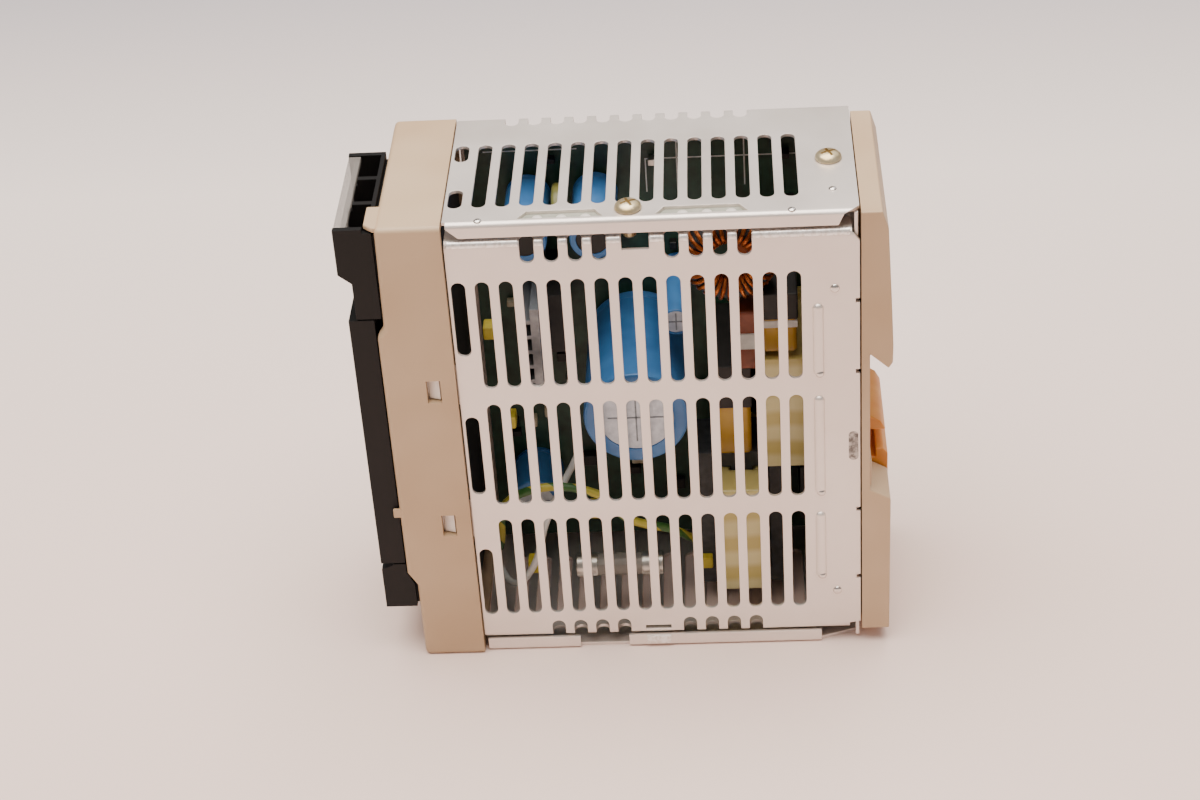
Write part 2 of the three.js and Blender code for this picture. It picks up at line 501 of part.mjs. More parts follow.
function railBase() {
  const lipX = PAD_X + 3.2;
  const profile = outline([
    [BASE_FRONT, BASE_FOOT], [REAR - 0.6, BASE_FOOT], [REAR - 0.4, LEDGE - 3], [REAR - 0.5, LEDGE - 2.6],
    [FLOOR_X, LEDGE], [FLOOR_X, POCKET_TOP], [lipX, POCKET_TOP - HOOK_REACH + 0.4],
    [lipX + 0.4, POCKET_TOP - HOOK_REACH], [REAR - 0.1, POCKET_TOP - 2.2], [REAR, POCKET_TOP + 2],
    [REAR - 0.4, HEIGHT - 22], [REAR - 1.1, HEIGHT - 4.6], [REAR - 2.4, HEIGHT - 0.3],
    [BASE_FRONT, HEIGHT - 0.3],
  ]);
  const pad = (y) => box([FLOOR_X - 0.5, PAD_X], y, [LEDGE + 0.6, LEDGE + 7]);
  const base = joined(
    prism("y", BASE_Y, profile),
    pad([BASE_Y[0] + 1, STOPPER_Y[0] - 2]),
    pad([STOPPER_Y[1] + 2, BASE_Y[1] - 1]),
  );
  const slide = [STOPPER_Y[0] - GAP, STOPPER_Y[1] + GAP];
  return cut(
    base,
    box([BASE_FRONT - 1, FLOOR_X], slide, [BASE_FOOT - 1, CHANNEL_TOP]),
    box([BASE_FRONT - 1, REAR + 1], slide, [LATCH_FOOT - LATCH_ROOM, CHANNEL_TOP]),
  );
}
add("rail_base", railBase(), beige);

function railStopper() {
  const y = [STOPPER_Y[0] + 0.1, STOPPER_Y[1] - 0.1];
  const side = outline([
    [STOPPER_X[0], BASE_FOOT - 1.3], [REAR - 1.1, BASE_FOOT - 1.3], [REAR - 1.1, BASE_FOOT - 0.3],
    [STOPPER_X[1], BASE_FOOT - 0.3], [STOPPER_X[1], LATCH_FOOT], [REAR - 0.3, LATCH_FOOT],
    [REAR - 0.3, LEDGE + 1.2], [REAR - 1.4, LATCH_TOP], [PAD_X + 1.5, LATCH_TOP],
    [PAD_X + 1.5, RAIL_FOOT - RAIL_CLEARANCE], [STOPPER_X[1], RAIL_FOOT - RAIL_CLEARANCE],
    [STOPPER_X[1], TONGUE[0]], [REAR - 0.8, TONGUE[0]], [REAR - 2, TONGUE[1] - 1.5],
    [PAD_X + 0.4, TONGUE[1]], [STOPPER_X[0], TONGUE[1]],
  ]);
  const driverSlot = box([FLOOR_X + 1, FLOOR_X + 2.4], [BASE_MIDDLE - 4, BASE_MIDDLE + 4],
    [0, BASE_FOOT]);
  return prism("y", y, side).subtract(driverSlot);
}
add("rail_stopper", railStopper(), amber);

// ---- main board on the far wall, and what stands on it ----
const BOARD_X = [CASE_FRONT + 1.5, PLATE_X[0] - 1];
const BOARD_Z = [SHEET + 2, HEIGHT - SHEET - 2];
const LEG = BOARD_NEAR - GAP; // foot of the components on the board
const fromCase = (x) => CASE_FRONT + x;
const fromTop = (z) => HEIGHT - z;
const STANDOFFS = [
  [BOARD_X[0] + 5, BOARD_Z[0] + 5], [BOARD_X[1] - 5, BOARD_Z[0] + 5],
  [BOARD_X[0] + 5, BOARD_Z[1] - 5], [BOARD_X[1] - 5, BOARD_Z[1] - 5],
];
add("main_board", box(BOARD_X, [BOARD_NEAR, BOARD_FAR], BOARD_Z), pcb);
STANDOFFS.forEach(([x, z], i) =>
  add(`board_standoff_${i + 1}`, rod("y", [BOARD_FAR + GAP, FAR - SHEET - GAP], [x, z], 2.5, 8), zinc));

const upright = (length, x, z, radius, sides) =>
  rod("y", [LEG - length, LEG], [fromCase(x), fromTop(z)], radius, sides);
const block = (height, [x0, x1], [z0, z1], foot = LEG) =>
  box([fromCase(x0), fromCase(x1)], [foot - height, foot], [fromTop(z0), fromTop(z1)]);

add("bulk_capacitor", upright(35.7, 38, 54, 11.7, 24), sleeveBlue);
add("output_capacitor_1", upright(22, 15.1, 16, 5.2, 14), sleeveBlue);
add("output_capacitor_2", upright(22, 30.2, 16, 5.2, 14), sleeveBlue);
add("output_capacitor_3", upright(14, 12, 92, 6.2, 14), sleeveBlue);
add("start_capacitor", upright(25, 47.6, 36, 3.3, 12), sleeveBlue);
add("varistor", rod("x", [fromCase(20.9), fromCase(24.4)], [LEG - 8, fromTop(16)], 6, 14),
  finish(0x7c7a3a, 0.5));

// A wound ring, its axis across the board's width.
function ring(x, z, middle, inner, outer, width) {
  const profile = [
    [inner, -width / 2], [outer, -width / 2], [outer, width / 2], [inner, width / 2], [inner, -width / 2],
  ].map(([r, h]) => new THREE.Vector2(r, h));
  return solid(new THREE.LatheGeometry(profile, 20).translate(fromCase(x), middle, fromTop(z)));
}
add("output_choke", ring(60, 17.5, LEG - 27, 4.2, 10.2, 10), copper);

// Transformer: the tape-wrapped winding fills the two windows of its ferrite core.
const CORE = {
  x: [50.5, 71.5], y: [LEG - 25, LEG - 11], z: [109, 71.5],
  yoke: 4.2, leg: 4.4, middle: [58.5, 63.5],
};
const CORE_WINDOW = { z: [CORE.z[0] - CORE.yoke, CORE.z[1] + CORE.yoke], x: inset(CORE.x, CORE.leg) };
const coreBlock = (x, y, [z0, z1]) => box(x.map(fromCase), y, [fromTop(z0), fromTop(z1)]);
const deep = inset(CORE.y, -1);
add("transformer_core", cut(
  coreBlock(CORE.x, CORE.y, CORE.z),
  coreBlock([CORE_WINDOW.x[0], CORE.middle[0]], deep, CORE_WINDOW.z),
  coreBlock([CORE.middle[1], CORE_WINDOW.x[1]], deep, CORE_WINDOW.z),
), ferrite);
add("transformer_winding", cut(
  coreBlock(inset(CORE_WINDOW.x, GAP), [LEG - 34, LEG - 2],
    [CORE_WINDOW.z[0] - GAP, CORE_WINDOW.z[1] + GAP]),
  coreBlock(inset(CORE.middle, -GAP), inset(CORE.y, -GAP), CORE.z),
), tape);
add("line_filter", joined(
  block(30, [67, 77.5], [70, 45]),
  block(3, [65.5, 79], [72, 43]),
  block(2, [65.5, 79], [72, 43], LEG - 28.5),
), tape);
add("film_capacitor", block(27, [55.5, 63.5], [71, 47]), mustard);
add("x_capacitor", block(31, [66.5, 74], [41, 26]), mustard);
add("fuse", rod("x", [fromCase(22), fromCase(42)], [LEG - 31, fromTop(98)], 2.6, 12), white);

// A heat sink: a plate with fins on its front side.
function heatSink(x, [z0, z1], height, fins) {
  const pitch = (z0 - z1) / fins;
  return joined(
    block(height, [x, x + 2], [z0, z1]),
    ...range(fins).map((i) => block(height, [x - 3, x + 0.5], [z0 - i * pitch, z0 - i * pitch - 1])),
  );
}
add("output_heat_sink", heatSink(16, [50, 27], 32, 6), aluminium);
add("input_heat_sink", heatSink(82, [100, 42], 27, 8), aluminium);
add("output_rectifier", block(20, [18 + GAP, 22.8], [46, 31]), black);
add("power_transistor", block(20, [84 - 9.6, 84 - 5.3], [95, 80]), black);

// Insulated wires, each a round section along a smooth curve.
function wire(points, radius) {
  const path = new THREE.CatmullRomCurve3(
    points.map(([x, y, z]) => new THREE.Vector3(fromCase(x), NEAR + y, fromTop(z))));
  const section = new THREE.Shape().absarc(0, 0, radius, 0, 2 * Math.PI, false);
  return solid(new THREE.ExtrudeGeometry(new THREE.Shape(section.getPoints(4).slice(0, -1)),
    { steps: 14, bevelEnabled: false, extrudePath: path }));
}
// The routes give distances from the case's front edge, its near side and its top.
const EARTH_ROUTE = [[3, 20, 100], [10, 11, 78], [28, 10, 78], [34, 9, 84], [44, 12, 90], [49, 20, 99]];
const SIGNAL_ROUTE = [[2, 20, 104], [7, 10, 103], [12, 7, 96], [16, 9, 84], [24, 16, 70]];
add("earth_wire", wire(EARTH_ROUTE, 1), finish(0x8fae3a, 0.5));
add("signal_wire", wire(SIGNAL_ROUTE, 0.8), white);

// ---- screws of the case's top ----
for (const [name, [x, y]] of [["side_screw", SIDE_SCREW], ["rear_screw", REAR_SCREW]]) {
  const shank = name === "side_screw" ? COVER_TOP + SHEET + 1.5 : 5;
  const head = joined(
    rod("z", [HEIGHT + 0.1, HEIGHT + 1.1], [x, y], SCREW_HEAD / 2, 16),
    rod("z", [HEIGHT + 1.1, HEIGHT + 1.8], [x, y], SCREW_HEAD / 2, 16, SCREW_HEAD / 2 - 0.9),
    rod("z", [HEIGHT - shank, HEIGHT + 0.2], [x, y], 1.45, 10),
  );
  add(name, cut(
    head,
    box([x - 1.7, x + 1.7], [y - 0.35, y + 0.35], [HEIGHT + 0.9, HEIGHT + 2]),
    box([x - 0.35, x + 0.35], [y - 1.7, y + 1.7], [HEIGHT + 0.9, HEIGHT + 2]),
  ), zinc);
}

export default part;
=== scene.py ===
import math
import random

import bmesh
import bpy
from mathutils import Matrix, Vector


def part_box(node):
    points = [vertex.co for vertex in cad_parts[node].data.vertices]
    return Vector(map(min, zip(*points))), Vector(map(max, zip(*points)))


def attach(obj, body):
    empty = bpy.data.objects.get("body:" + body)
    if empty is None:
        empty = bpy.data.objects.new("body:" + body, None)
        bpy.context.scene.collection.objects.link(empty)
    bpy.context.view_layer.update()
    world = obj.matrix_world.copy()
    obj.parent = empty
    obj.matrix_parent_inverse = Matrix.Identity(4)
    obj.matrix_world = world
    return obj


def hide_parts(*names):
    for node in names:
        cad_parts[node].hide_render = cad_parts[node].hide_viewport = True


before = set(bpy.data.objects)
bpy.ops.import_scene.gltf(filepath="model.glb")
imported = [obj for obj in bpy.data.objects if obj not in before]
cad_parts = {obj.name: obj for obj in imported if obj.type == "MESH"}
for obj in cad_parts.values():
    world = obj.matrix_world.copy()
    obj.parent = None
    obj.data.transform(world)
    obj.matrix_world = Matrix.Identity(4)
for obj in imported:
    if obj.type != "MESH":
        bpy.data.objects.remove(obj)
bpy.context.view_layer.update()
MM = 0.001


# Camera: a long lens, held slightly tilted, looks down on the perforated side from a little behind
# square, so that the top and a sliver of the rear show as well.
CAMERA_PLACE = (0.0264, -0.4833, 0.3809)
CAMERA_LOOKS = (-0.05635, 0.82685, -0.55960)
CAMERA_ROLL = math.radians(-4.075)
LENS = 76.54
camera_data = bpy.data.cameras.new("camera")
camera_data.sensor_width = 36
camera_data.lens = LENS
camera_data.clip_start = 0.01
camera = bpy.data.objects.new("camera", camera_data)
looking = Vector(CAMERA_LOOKS).to_track_quat("-Z", "Y").to_matrix().to_4x4()
camera.matrix_world = Matrix.Translation(CAMERA_PLACE) @ looking @ Matrix.Rotation(CAMERA_ROLL, 4, "Z")
bpy.context.scene.collection.objects.link(camera)
bpy.context.scene.camera = camera


# Floor: a wide sheet of pale matt paper that lies flat under the object and sweeps up behind it. Its colour
# is painted warmer near the camera and darker and cooler towards the back, as painted shade where daylight
# falls off.
def linear(hex_colour, alpha=1.0):
    """An sRGB hex colour as linear RGBA."""
    channels = [int(hex_colour[i:i + 2], 16) / 255 for i in (1, 3, 5)]
    return tuple(c / 12.92 if c <= 0.04045 else ((c + 0.055) / 1.055) ** 2.4 for c in channels) + (alpha,)


def add_node(material, kind, links=None, **settings):
    """Adds a shader node; settings are its properties or sockets, links its inputs."""
    node = material.node_tree.nodes.new(kind)
    for name, value in settings.items():
        if hasattr(node, name):
            setattr(node, name, value)
        else:
            node.inputs[name.replace("_", " ")].default_value = value
    for socket, source in (links or {}).items():
        material.node_tree.links.new(source, node.inputs[socket])
    return node


def paint(material, factor, *stops):
    """Runs a material's base colour by a factor through stops, each a position and a tone."""
    ramp = add_node(material, "ShaderNodeValToRGB", {"Fac": factor})
    elements = ramp.color_ramp.elements
    for element, (position, tone) in zip(elements, (stops[0], stops[-1])):
        element.position = position
        element.color = linear(tone)
    for position, tone in stops[1:-1]:
        elements.new(position).color = linear(tone)
    shader = material.node_tree.nodes["Principled BSDF"]
    material.node_tree.links.new(ramp.outputs["Color"], shader.inputs["Base Color"])


def new_finish(name, tone, roughness, metallic=0.0, tones=None, relief=None, polish=None, **sockets):
    """A Principled material with its constants on the shader's own sockets. Its tones, relief and polish
    each wander with a noise on the piece's own coordinates, whose grains and depth are in millimetres."""
    material = bpy.data.materials.new(name)
    material.use_nodes = True
    links = material.node_tree.links
    shader = material.node_tree.nodes["Principled BSDF"]
    constants = {"Base_Color": linear(tone), "Roughness": roughness, "Metallic": metallic, **sockets}
    for socket, value in constants.items():
        shader.inputs[socket.replace("_", " ")].default_value = value

    def grains_of(look):
        place = add_node(material, "ShaderNodeTexCoord")
        spread = add_node(material, "ShaderNodeMapping", {"Vector": place.outputs["Object"]},
                          Scale=look.get("stretch", (1, 1, 1)))
        noise = add_node(material, "ShaderNodeTexNoise", {"Vector": spread.outputs["Vector"]},
                         Scale=1000 / look["grain"], Detail=look["detail"], Roughness=0.55)
        return noise.outputs["Fac"]

    if tones:
        low, high = tones.get("ends", (0.3, 0.7))
        paint(material, grains_of(tones), (low, tones["dark"]), (high, tones["light"]))
    if relief:
        bump = add_node(material, "ShaderNodeBump", {"Height": grains_of(relief)},
                        Strength=relief["strength"], Distance=relief["depth"] * MM)
        links.new(bump.outputs["Normal"], shader.inputs["Normal"])
    if polish:
        spread = add_node(material, "ShaderNodeMapRange", {"Value": grains_of(polish)},
                          To_Min=polish["low"], To_Max=polish["high"])
        links.new(spread.outputs["Result"], shader.inputs["Roughness"])
    return material


# Uncoated paper: hardly any gloss, and a very faint cockle.
paper = new_finish("matt_backdrop_paper", "#E2D7D0", 0.85,
                   relief=dict(grain=60, detail=2.0, strength=0.05, depth=0.5))
paper_place = add_node(paper, "ShaderNodeTexCoord")
painted_falloff_depth = add_node(paper, "ShaderNodeSeparateXYZ", {"Vector": paper_place.outputs["Object"]})
# Painted light: the paper runs from warm pale at the front to a darker cool grey at the back, for the
# fall-off of the daylight.
paint(paper, painted_falloff_depth.outputs["Y"], (0.0, "#F0D7CC"), (0.2, "#ECDED7"), (0.36, "#B7B0B4"))

FLOOR_REACH = 3.0
BEND_STEPS = 8
BEND_STRIDE = 0.24
backdrop_mesh = bpy.data.meshes.new("backdrop")
bm = bmesh.new()
bmesh.ops.create_grid(bm, x_segments=1, y_segments=1, size=FLOOR_REACH)
rear_edge = [e for e in bm.edges if all(v.co.y > FLOOR_REACH - 0.01 for v in e.verts)]
for step in range(BEND_STEPS):
    raised = bmesh.ops.extrude_edge_only(bm, edges=rear_edge)["geom"]
    angle = (step + 0.5) * math.pi / 2 / BEND_STEPS
    ahead = Vector((0, math.cos(angle), math.sin(angle))) * BEND_STRIDE
    bmesh.ops.translate(bm, vec=ahead, verts=[v for v in raised if isinstance(v, bmesh.types.BMVert)])
    rear_edge = [e for e in raised if isinstance(e, bmesh.types.BMEdge)]
for face in bm.faces:
    face.smooth = True
bm.to_mesh(backdrop_mesh)
bm.free()
backdrop = bpy.data.objects.new("backdrop", backdrop_mesh)
backdrop.data.materials.append(paper)
bpy.context.scene.collection.objects.link(backdrop)

# Light: a broad soft window high over the object does most of the work, with a weak fill from the back
# of the room, a weaker one from the front, and pale walls all round.
world = bpy.data.worlds.new("soft_room")
world.use_nodes = True
world.node_tree.nodes["Background"].inputs["Color"].default_value = linear("#F1ECEA")
world.node_tree.nodes["Background"].inputs["Strength"].default_value = 0.36
bpy.context.scene.world = world


def area_lamp(name, place, target, size, watts, hex_colour):
    """A soft square lamp aimed at a point."""
    lamp = bpy.data.lights.new(name, "AREA")
    lamp.size = size
    lamp.energy = watts
    lamp.color = linear(hex_colour)[:3]
    holder = bpy.data.objects.new(name, lamp)
    aim = (Vector(target) - Vector(place)).to_track_quat("-Z", "Y").to_matrix().to_4x4()
    holder.matrix_world = Matrix.Translation(place) @ aim
    bpy.context.scene.collection.objects.link(holder)


area_lamp("window_above", (-0.1, -0.02, 1.15), (0, 0.02, 0.08), 1.2, 36, "#FFF8F0")
area_lamp("ceiling_rear", (0.5, 0.7, 0.9), (0, 0, 0.1), 0.9, 3, "#FFFFFF")
area_lamp("room_front", (0.1, -1.3, 0.7), (0, 0, 0.05), 1.4, 0.4, "#FFF4EC")


# Folded case: one strip of plated sheet steel, blanked with its slots and folded round the far wall,
# top and base, with a short lip that laps the side cover above and below. Sizes from here on are in
# millimetres, and a finished mesh is turned to metres.
SHEET = 0.8
BROKEN_EDGE = 0.12
PITCH = 5.08
SLOT_WIDTH = 3.05
COLUMNS = 15
FIRST_COLUMN = 2.2
SMOOTH_ANGLE = 35
MERGE = 0.004


def extent(node):
    """A node's lowest and highest corners in millimetres."""
    low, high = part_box(node)
    return low / MM, high / MM


case_low, case_high = extent("folded_case")
NEAR = case_low.y
FAR = case_high.y
HEIGHT = case_high.z
CASE_FRONT = case_low.x
CASE_REAR = case_high.x


def column_x(k):
    """The middle of a column of slots, counted from the front."""
    return CASE_FRONT + FIRST_COLUMN + k * PITCH


def weigh_normals(mesh, angle):
    """Lets big flat faces keep their own normal, so the small rounds between them take up the turn."""
    around = [[] for _ in mesh.vertices]
    for face in mesh.polygons:
        for corner in face.vertices:
            around[corner].append((face.normal.copy(), face.area / MM ** 2))
    limit = math.cos(math.radians(angle))
    normals = []
    for face in mesh.polygons:
        own = face.normal.copy()
        for corner in face.vertices:
            turned_to = [normal * area for normal, area in around[corner] if normal.dot(own) > limit]
            normals.append(sum(turned_to, own * 1e-6).normalized())
    mesh.normals_split_custom_set(normals)


def link_piece(name, mesh, material, body="case", replaces=(), smooth_angle=SMOOTH_ANGLE):
    """Makes the object with its material, smooths its faces up to an angle, ties it to its body and hides
    the nodes it replaces.
    """
    piece = bpy.data.objects.new(name, mesh)
    bpy.context.scene.collection.objects.link(piece)
    if not mesh.materials:
        mesh.materials.append(material)
    mesh.polygons.foreach_set("use_smooth", [True] * len(mesh.polygons))
    weigh_normals(mesh, smooth_angle)
    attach(piece, body)
    if replaces:
        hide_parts(*replaces)
    return piece


def slot_points(x, s0, s1, width=SLOT_WIDTH, steps=8):
    """The outline of a slot with round ends."""
    r = width / 2
    top = [(x + r * math.cos(a), s1 - r + r * math.sin(a))
           for a in (math.pi * i / steps for i in range(steps + 1))]
    foot = [(x - r * math.cos(a), s0 + r - r * math.sin(a))
            for a in (math.pi * i / steps for i in range(steps + 1))]
    return top + foot


def blank(outline, holes, thickness=SHEET, edge=BROKEN_EDGE):
    """A flat sheet blanked from an outline with holes, its edges slightly broken, in millimetres."""
    curve = bpy.data.curves.new("blank", "CURVE")
    curve.dimensions = "2D"
    curve.fill_mode = "BOTH"
    curve.extrude = thickness / 2 - edge
    curve.bevel_depth = edge
    curve.bevel_resolution = 1
    curve.offset = -edge
    for points in [outline, *holes]:
        spline = curve.splines.new("POLY")
        spline.points.add(len(points) - 1)
        for point, (x, y) in zip(spline.points, points):
            point.co = (x, y, 0, 1)
        spline.use_cyclic_u = True
    flat = bpy.data.objects.new("blank", curve)
    bpy.context.scene.collection.objects.link(flat)
    bpy.context.view_layer.update()
    mesh = bpy.data.meshes.new_from_object(flat.evaluated_get(bpy.context.evaluated_depsgraph_get()))
    bpy.data.objects.remove(flat)
    sheet = bmesh.new()
    sheet.from_mesh(mesh)
    bmesh.ops.remove_doubles(sheet, verts=sheet.verts, dist=MERGE)
    bmesh.ops.translate(sheet, vec=(0, 0, thickness / 2), verts=sheet.verts)
    return sheet


class Fold:
    """The path of a sheet's outer face round square corners, measured along the face from its start."""

    def __init__(self, corners, radius):
        self.radius = radius
        self.runs = []
        self.arcs = []
        along = 0
        points = [Vector(p) for p in corners]
        for i in range(len(points) - 1):
            heading = (points[i + 1] - points[i]).normalized()
            first = points[i] + (heading * radius if i else Vector((0, 0)))
            last = points[i + 1] - (heading * radius if i < len(points) - 2 else Vector((0, 0)))
            length = (last - first).length
            self.runs.append((along, first, heading, length))
            along += length
            if i < len(points) - 2:
                inward = Vector((-heading.y, heading.x))
                self.arcs.append((along, last + inward * radius, -inward, heading))
                along += radius * math.pi / 2
        self.length = along

    def at(self, run, y=None, z=None):
        """The distance along the face of a place on one of its straight runs."""
        along, first, heading, _ = self.runs[run]
        return along + ((y - first.x) / heading.x if z is None else (z - first.y) / heading.y)

    def place(self, along, depth):
        """Where a point of the flat sheet comes to, at a depth under its outer face."""
        for start, centre, outward, heading in self.arcs:
            if start <= along <= start + self.radius * math.pi / 2:
                angle = (along - start) / self.radius
                spoke = outward * math.cos(angle) + heading * math.sin(angle)
                return centre + spoke * (self.radius - depth)
        begun = [run for run in self.runs if run[0] <= along] or self.runs[:1]
        start, first, heading, _ = begun[-1]
        return first + heading * (along - start) + Vector((-heading.y, heading.x)) * depth


def fold_sheet(sheet, fold, thickness=SHEET, steps=5):
    """Bends a flat blank along its fold and turns it to metres."""
    for start, *_ in fold.arcs:
        for i in range(steps + 1):
            line = start + fold.radius * math.pi / 2 * i / steps
            bmesh.ops.bisect_plane(sheet, geom=sheet.verts[:] + sheet.edges[:] + sheet.faces[:],
                                   dist=1e-4, plane_co=(0, line, 0), plane_no=(0, 1, 0))
    for vert in sheet.verts:
        bent = fold.place(vert.co.y, thickness - vert.co.z)
        vert.co = Vector((vert.co.x, bent.x, bent.y)) * MM
    bmesh.ops.recalc_face_normals(sheet, faces=sheet.faces)
    mesh = bpy.data.meshes.new("sheet")
    sheet.to_mesh(mesh)
    sheet.free()
    return mesh


# Plated steel, rolled: a soft pinkish white metal, satin rather than bright, with cloudy handling marks
# and a rolled grain that is drawn coarser than it is, to show at all.
case_metal = new_finish("satin_plated_steel", "#E6DCD4", 0.38, 0.72,
                        tones=dict(grain=26, detail=4.0, dark="#E2D7CF", light="#ECE3DC"),
                        relief=dict(grain=0.8, detail=2.0, stretch=(0.2, 1, 1), strength=0.25, depth=0.03),
                        polish=dict(grain=26, detail=4.0, low=0.34, high=0.52))

LIP = 3.5
CASE_RADIUS = 1.1
LIP_FRONT = CASE_FRONT + 0.7
LIP_REAR = CASE_REAR - 9
TOP_LIP_REAR = CASE_REAR - 3.2
FINGER_GAP = (column_x(4) - 0.3, column_x(6) + 0.9)
SHEET_SLOT = (NEAR + 7, NEAR + 34.4)
FIRST_SLOTS = ((SHEET_SLOT[0], SHEET_SLOT[0] + 7.7), (SHEET_SLOT[1] - 7.2, SHEET_SLOT[1]))
FAR_SLOT_FOOT = HEIGHT - 5.5
FAR_SLOT_HEAD = FAR - 4
SCREW_HOLE = 1.8
SIDE_SCREW = (column_x(7) + 1.3, NEAR + 4.3)
REAR_SCREW = (CASE_REAR - 5.5, NEAR + 22.6)

case_fold = Fold([(NEAR, LIP), (NEAR, 0), (FAR, 0), (FAR, HEIGHT), (NEAR, HEIGHT), (NEAR, HEIGHT - LIP)],
                 CASE_RADIUS)
base_start = case_fold.runs[1][0]
top_end = case_fold.runs[3][0] + case_fold.runs[3][3]
end = case_fold.length
case_outline = [
    (LIP_FRONT, 0), (FINGER_GAP[0], 0), (FINGER_GAP[0], base_start), (FINGER_GAP[1], base_start),
    (FINGER_GAP[1], 0), (LIP_REAR, 0), (LIP_REAR, base_start), (CASE_REAR, base_start + 3),
    (CASE_REAR, top_end - 1), (CASE_REAR - 1.5, top_end + 0.5), (TOP_LIP_REAR, top_end + 1.5),
    (TOP_LIP_REAR - 1.2, end),
    (LIP_FRONT + 2.6, end), (LIP_FRONT, end - 2.4), (LIP_FRONT, top_end), (CASE_FRONT, top_end),
    (CASE_FRONT, base_start + 1), (LIP_FRONT, base_start),
]


def round_hole(x, s, radius, steps=20):
    """The outline of a round hole."""
    return [(x + radius * math.cos(2 * math.pi * i / steps), s + radius * math.sin(2 * math.pi * i / steps))
            for i in range(steps)]


BASE_RUN, FAR_RUN, TOP_RUN = 1, 2, 3
slot_near, slot_far = SHEET_SLOT
case_holes = []
for k in range(1, COLUMNS):
    case_holes.append(slot_points(column_x(k), case_fold.at(TOP_RUN, y=slot_far),
                                  case_fold.at(TOP_RUN, y=slot_near)))
    case_holes.append(slot_points(column_x(k), case_fold.at(BASE_RUN, y=slot_near),
                                  case_fold.at(BASE_RUN, y=slot_far)))
for y0, y1 in FIRST_SLOTS:
    case_holes.append(slot_points(column_x(0), case_fold.at(TOP_RUN, y=y1), case_fold.at(TOP_RUN, y=y0)))
for k in range(2, COLUMNS - 2):
    case_holes.append(slot_points(column_x(k), case_fold.at(FAR_RUN, z=FAR_SLOT_FOOT),
                                  case_fold.at(TOP_RUN, y=FAR_SLOT_HEAD)))
for x, y in (SIDE_SCREW, REAR_SCREW):
    case_holes.append(round_hole(x, case_fold.at(TOP_RUN, y=y), SCREW_HOLE))
TOP_WINDOWS = ((-19.8, -1.8), (9.2, 28.5))
WINDOW_EDGES = (NEAR + 1.7, NEAR + 4.6)
WINDOW_SLANT = 1.8
for x0, x1 in TOP_WINDOWS:
    near_edge, far_edge = (case_fold.at(TOP_RUN, y=y) for y in WINDOW_EDGES)
    case_holes.append([(x0, near_edge), (x1, near_edge), (x1 - WINDOW_SLANT, far_edge),
                       (x0 + WINDOW_SLANT, far_edge)])
link_piece("case_sheet", fold_sheet(blank(case_outline, case_holes), case_fold), case_metal,
           replaces=("folded_case",))


# Perforated side cover: a second sheet with three rows of slots, flanged inwards above and below so that
# its round upper bend shows under the case's lip, with short slots running over both bends.
COVER_TOP = extent("side_cover")[1].z
COVER_FOOT = 3.7
COVER_REAR = CASE_REAR - 2.5
COVER_RADIUS = 1.7
FLANGE = 5.5
ROW_LENGTH = 27.1
ROW_STEP = 31.4
ROW_TOP = HEIGHT - 14.25
FIRST_TRIM = ((8.5, 0), (3, 3.2), (0, 8.2))
SHORT_SLOTS = (3, 4, 5, 6, 9, 10, 11, 12)
SHORT_SLOT_Y = NEAR + 3.2
UPPER_SHORT_FOOT = COVER_TOP - 5.5
LOWER_SHORT_HEAD = COVER_FOOT + 4.7
NOTCH_HALF = 2.9
NOTCH_FOOT = COVER_TOP - 3.1
EDGE_NICKS = (93, 75, 38, 19)
NICK_FLOOR = CASE_REAR - 0.9
TAB_X = (2, 7.9)
TAB_SLIT = (0.2, -0.9)
cover_fold = Fold([(NEAR + FLANGE, COVER_TOP), (NEAR, COVER_TOP), (NEAR, COVER_FOOT),
                   (NEAR + FLANGE, COVER_FOOT)], COVER_RADIUS)
wall_start = cover_fold.runs[1][0]
wall_end = wall_start + cover_fold.runs[1][3]
cover_outline = [
    (CASE_FRONT, 0), (CASE_REAR - 1.6, 0), (CASE_REAR - 1.6, wall_start - 1), (CASE_REAR, wall_start + 1.2),
    *((x, cover_fold.at(1, z=z + rise)) for z in EDGE_NICKS
      for x, rise in ((CASE_REAR, 0.5), (NICK_FLOOR, 0.5), (NICK_FLOOR, -0.5), (CASE_REAR, -0.5))),
    (CASE_REAR, wall_end - 0.5), (COVER_REAR, wall_end), (COVER_REAR, cover_fold.length),
    (CASE_FRONT, cover_fold.length),
]
UPPER_FLANGE, WALL, LOWER_FLANGE = 0, 1, 2
cover_holes = []
for row in range(3):
    for k in range(COLUMNS):
        low, high = FIRST_TRIM[row] if k == 0 else (0, 0)
        top = ROW_TOP - row * ROW_STEP
        cover_holes.append(slot_points(column_x(k), cover_fold.at(WALL, z=top - high),
                                       cover_fold.at(WALL, z=top - ROW_LENGTH + low)))
for k in SHORT_SLOTS:
    cover_holes.append(slot_points(column_x(k), cover_fold.at(UPPER_FLANGE, y=SHORT_SLOT_Y),
                                   cover_fold.at(WALL, z=UPPER_SHORT_FOOT)))
    cover_holes.append(slot_points(column_x(k), cover_fold.at(WALL, z=LOWER_SHORT_HEAD),
                                   cover_fold.at(LOWER_FLANGE, y=SHORT_SLOT_Y)))
middle = (column_x(7) + column_x(8)) / 2
notch_head, notch_foot = cover_fold.at(UPPER_FLANGE, y=SHORT_SLOT_Y), cover_fold.at(WALL, z=NOTCH_FOOT)
cover_holes.append([(middle - NOTCH_HALF, notch_head), (middle + NOTCH_HALF, notch_head),
                    (middle + NOTCH_HALF, notch_foot), (middle - NOTCH_HALF, notch_foot)])
slit_foot, slit_head = (wall_end + past for past in TAB_SLIT)
cover_holes.append([(TAB_X[0], slit_foot), (TAB_X[1], slit_foot), (TAB_X[1], slit_head),
                    (TAB_X[0], slit_head)])
cover_holes.append(round_hole(SIDE_SCREW[0], cover_fold.at(UPPER_FLANGE, y=SIDE_SCREW[1]), 1.7, 16))
link_piece("side_cover_sheet", fold_sheet(blank(cover_outline, cover_holes), cover_fold), case_metal,
           replaces=("side_cover",))


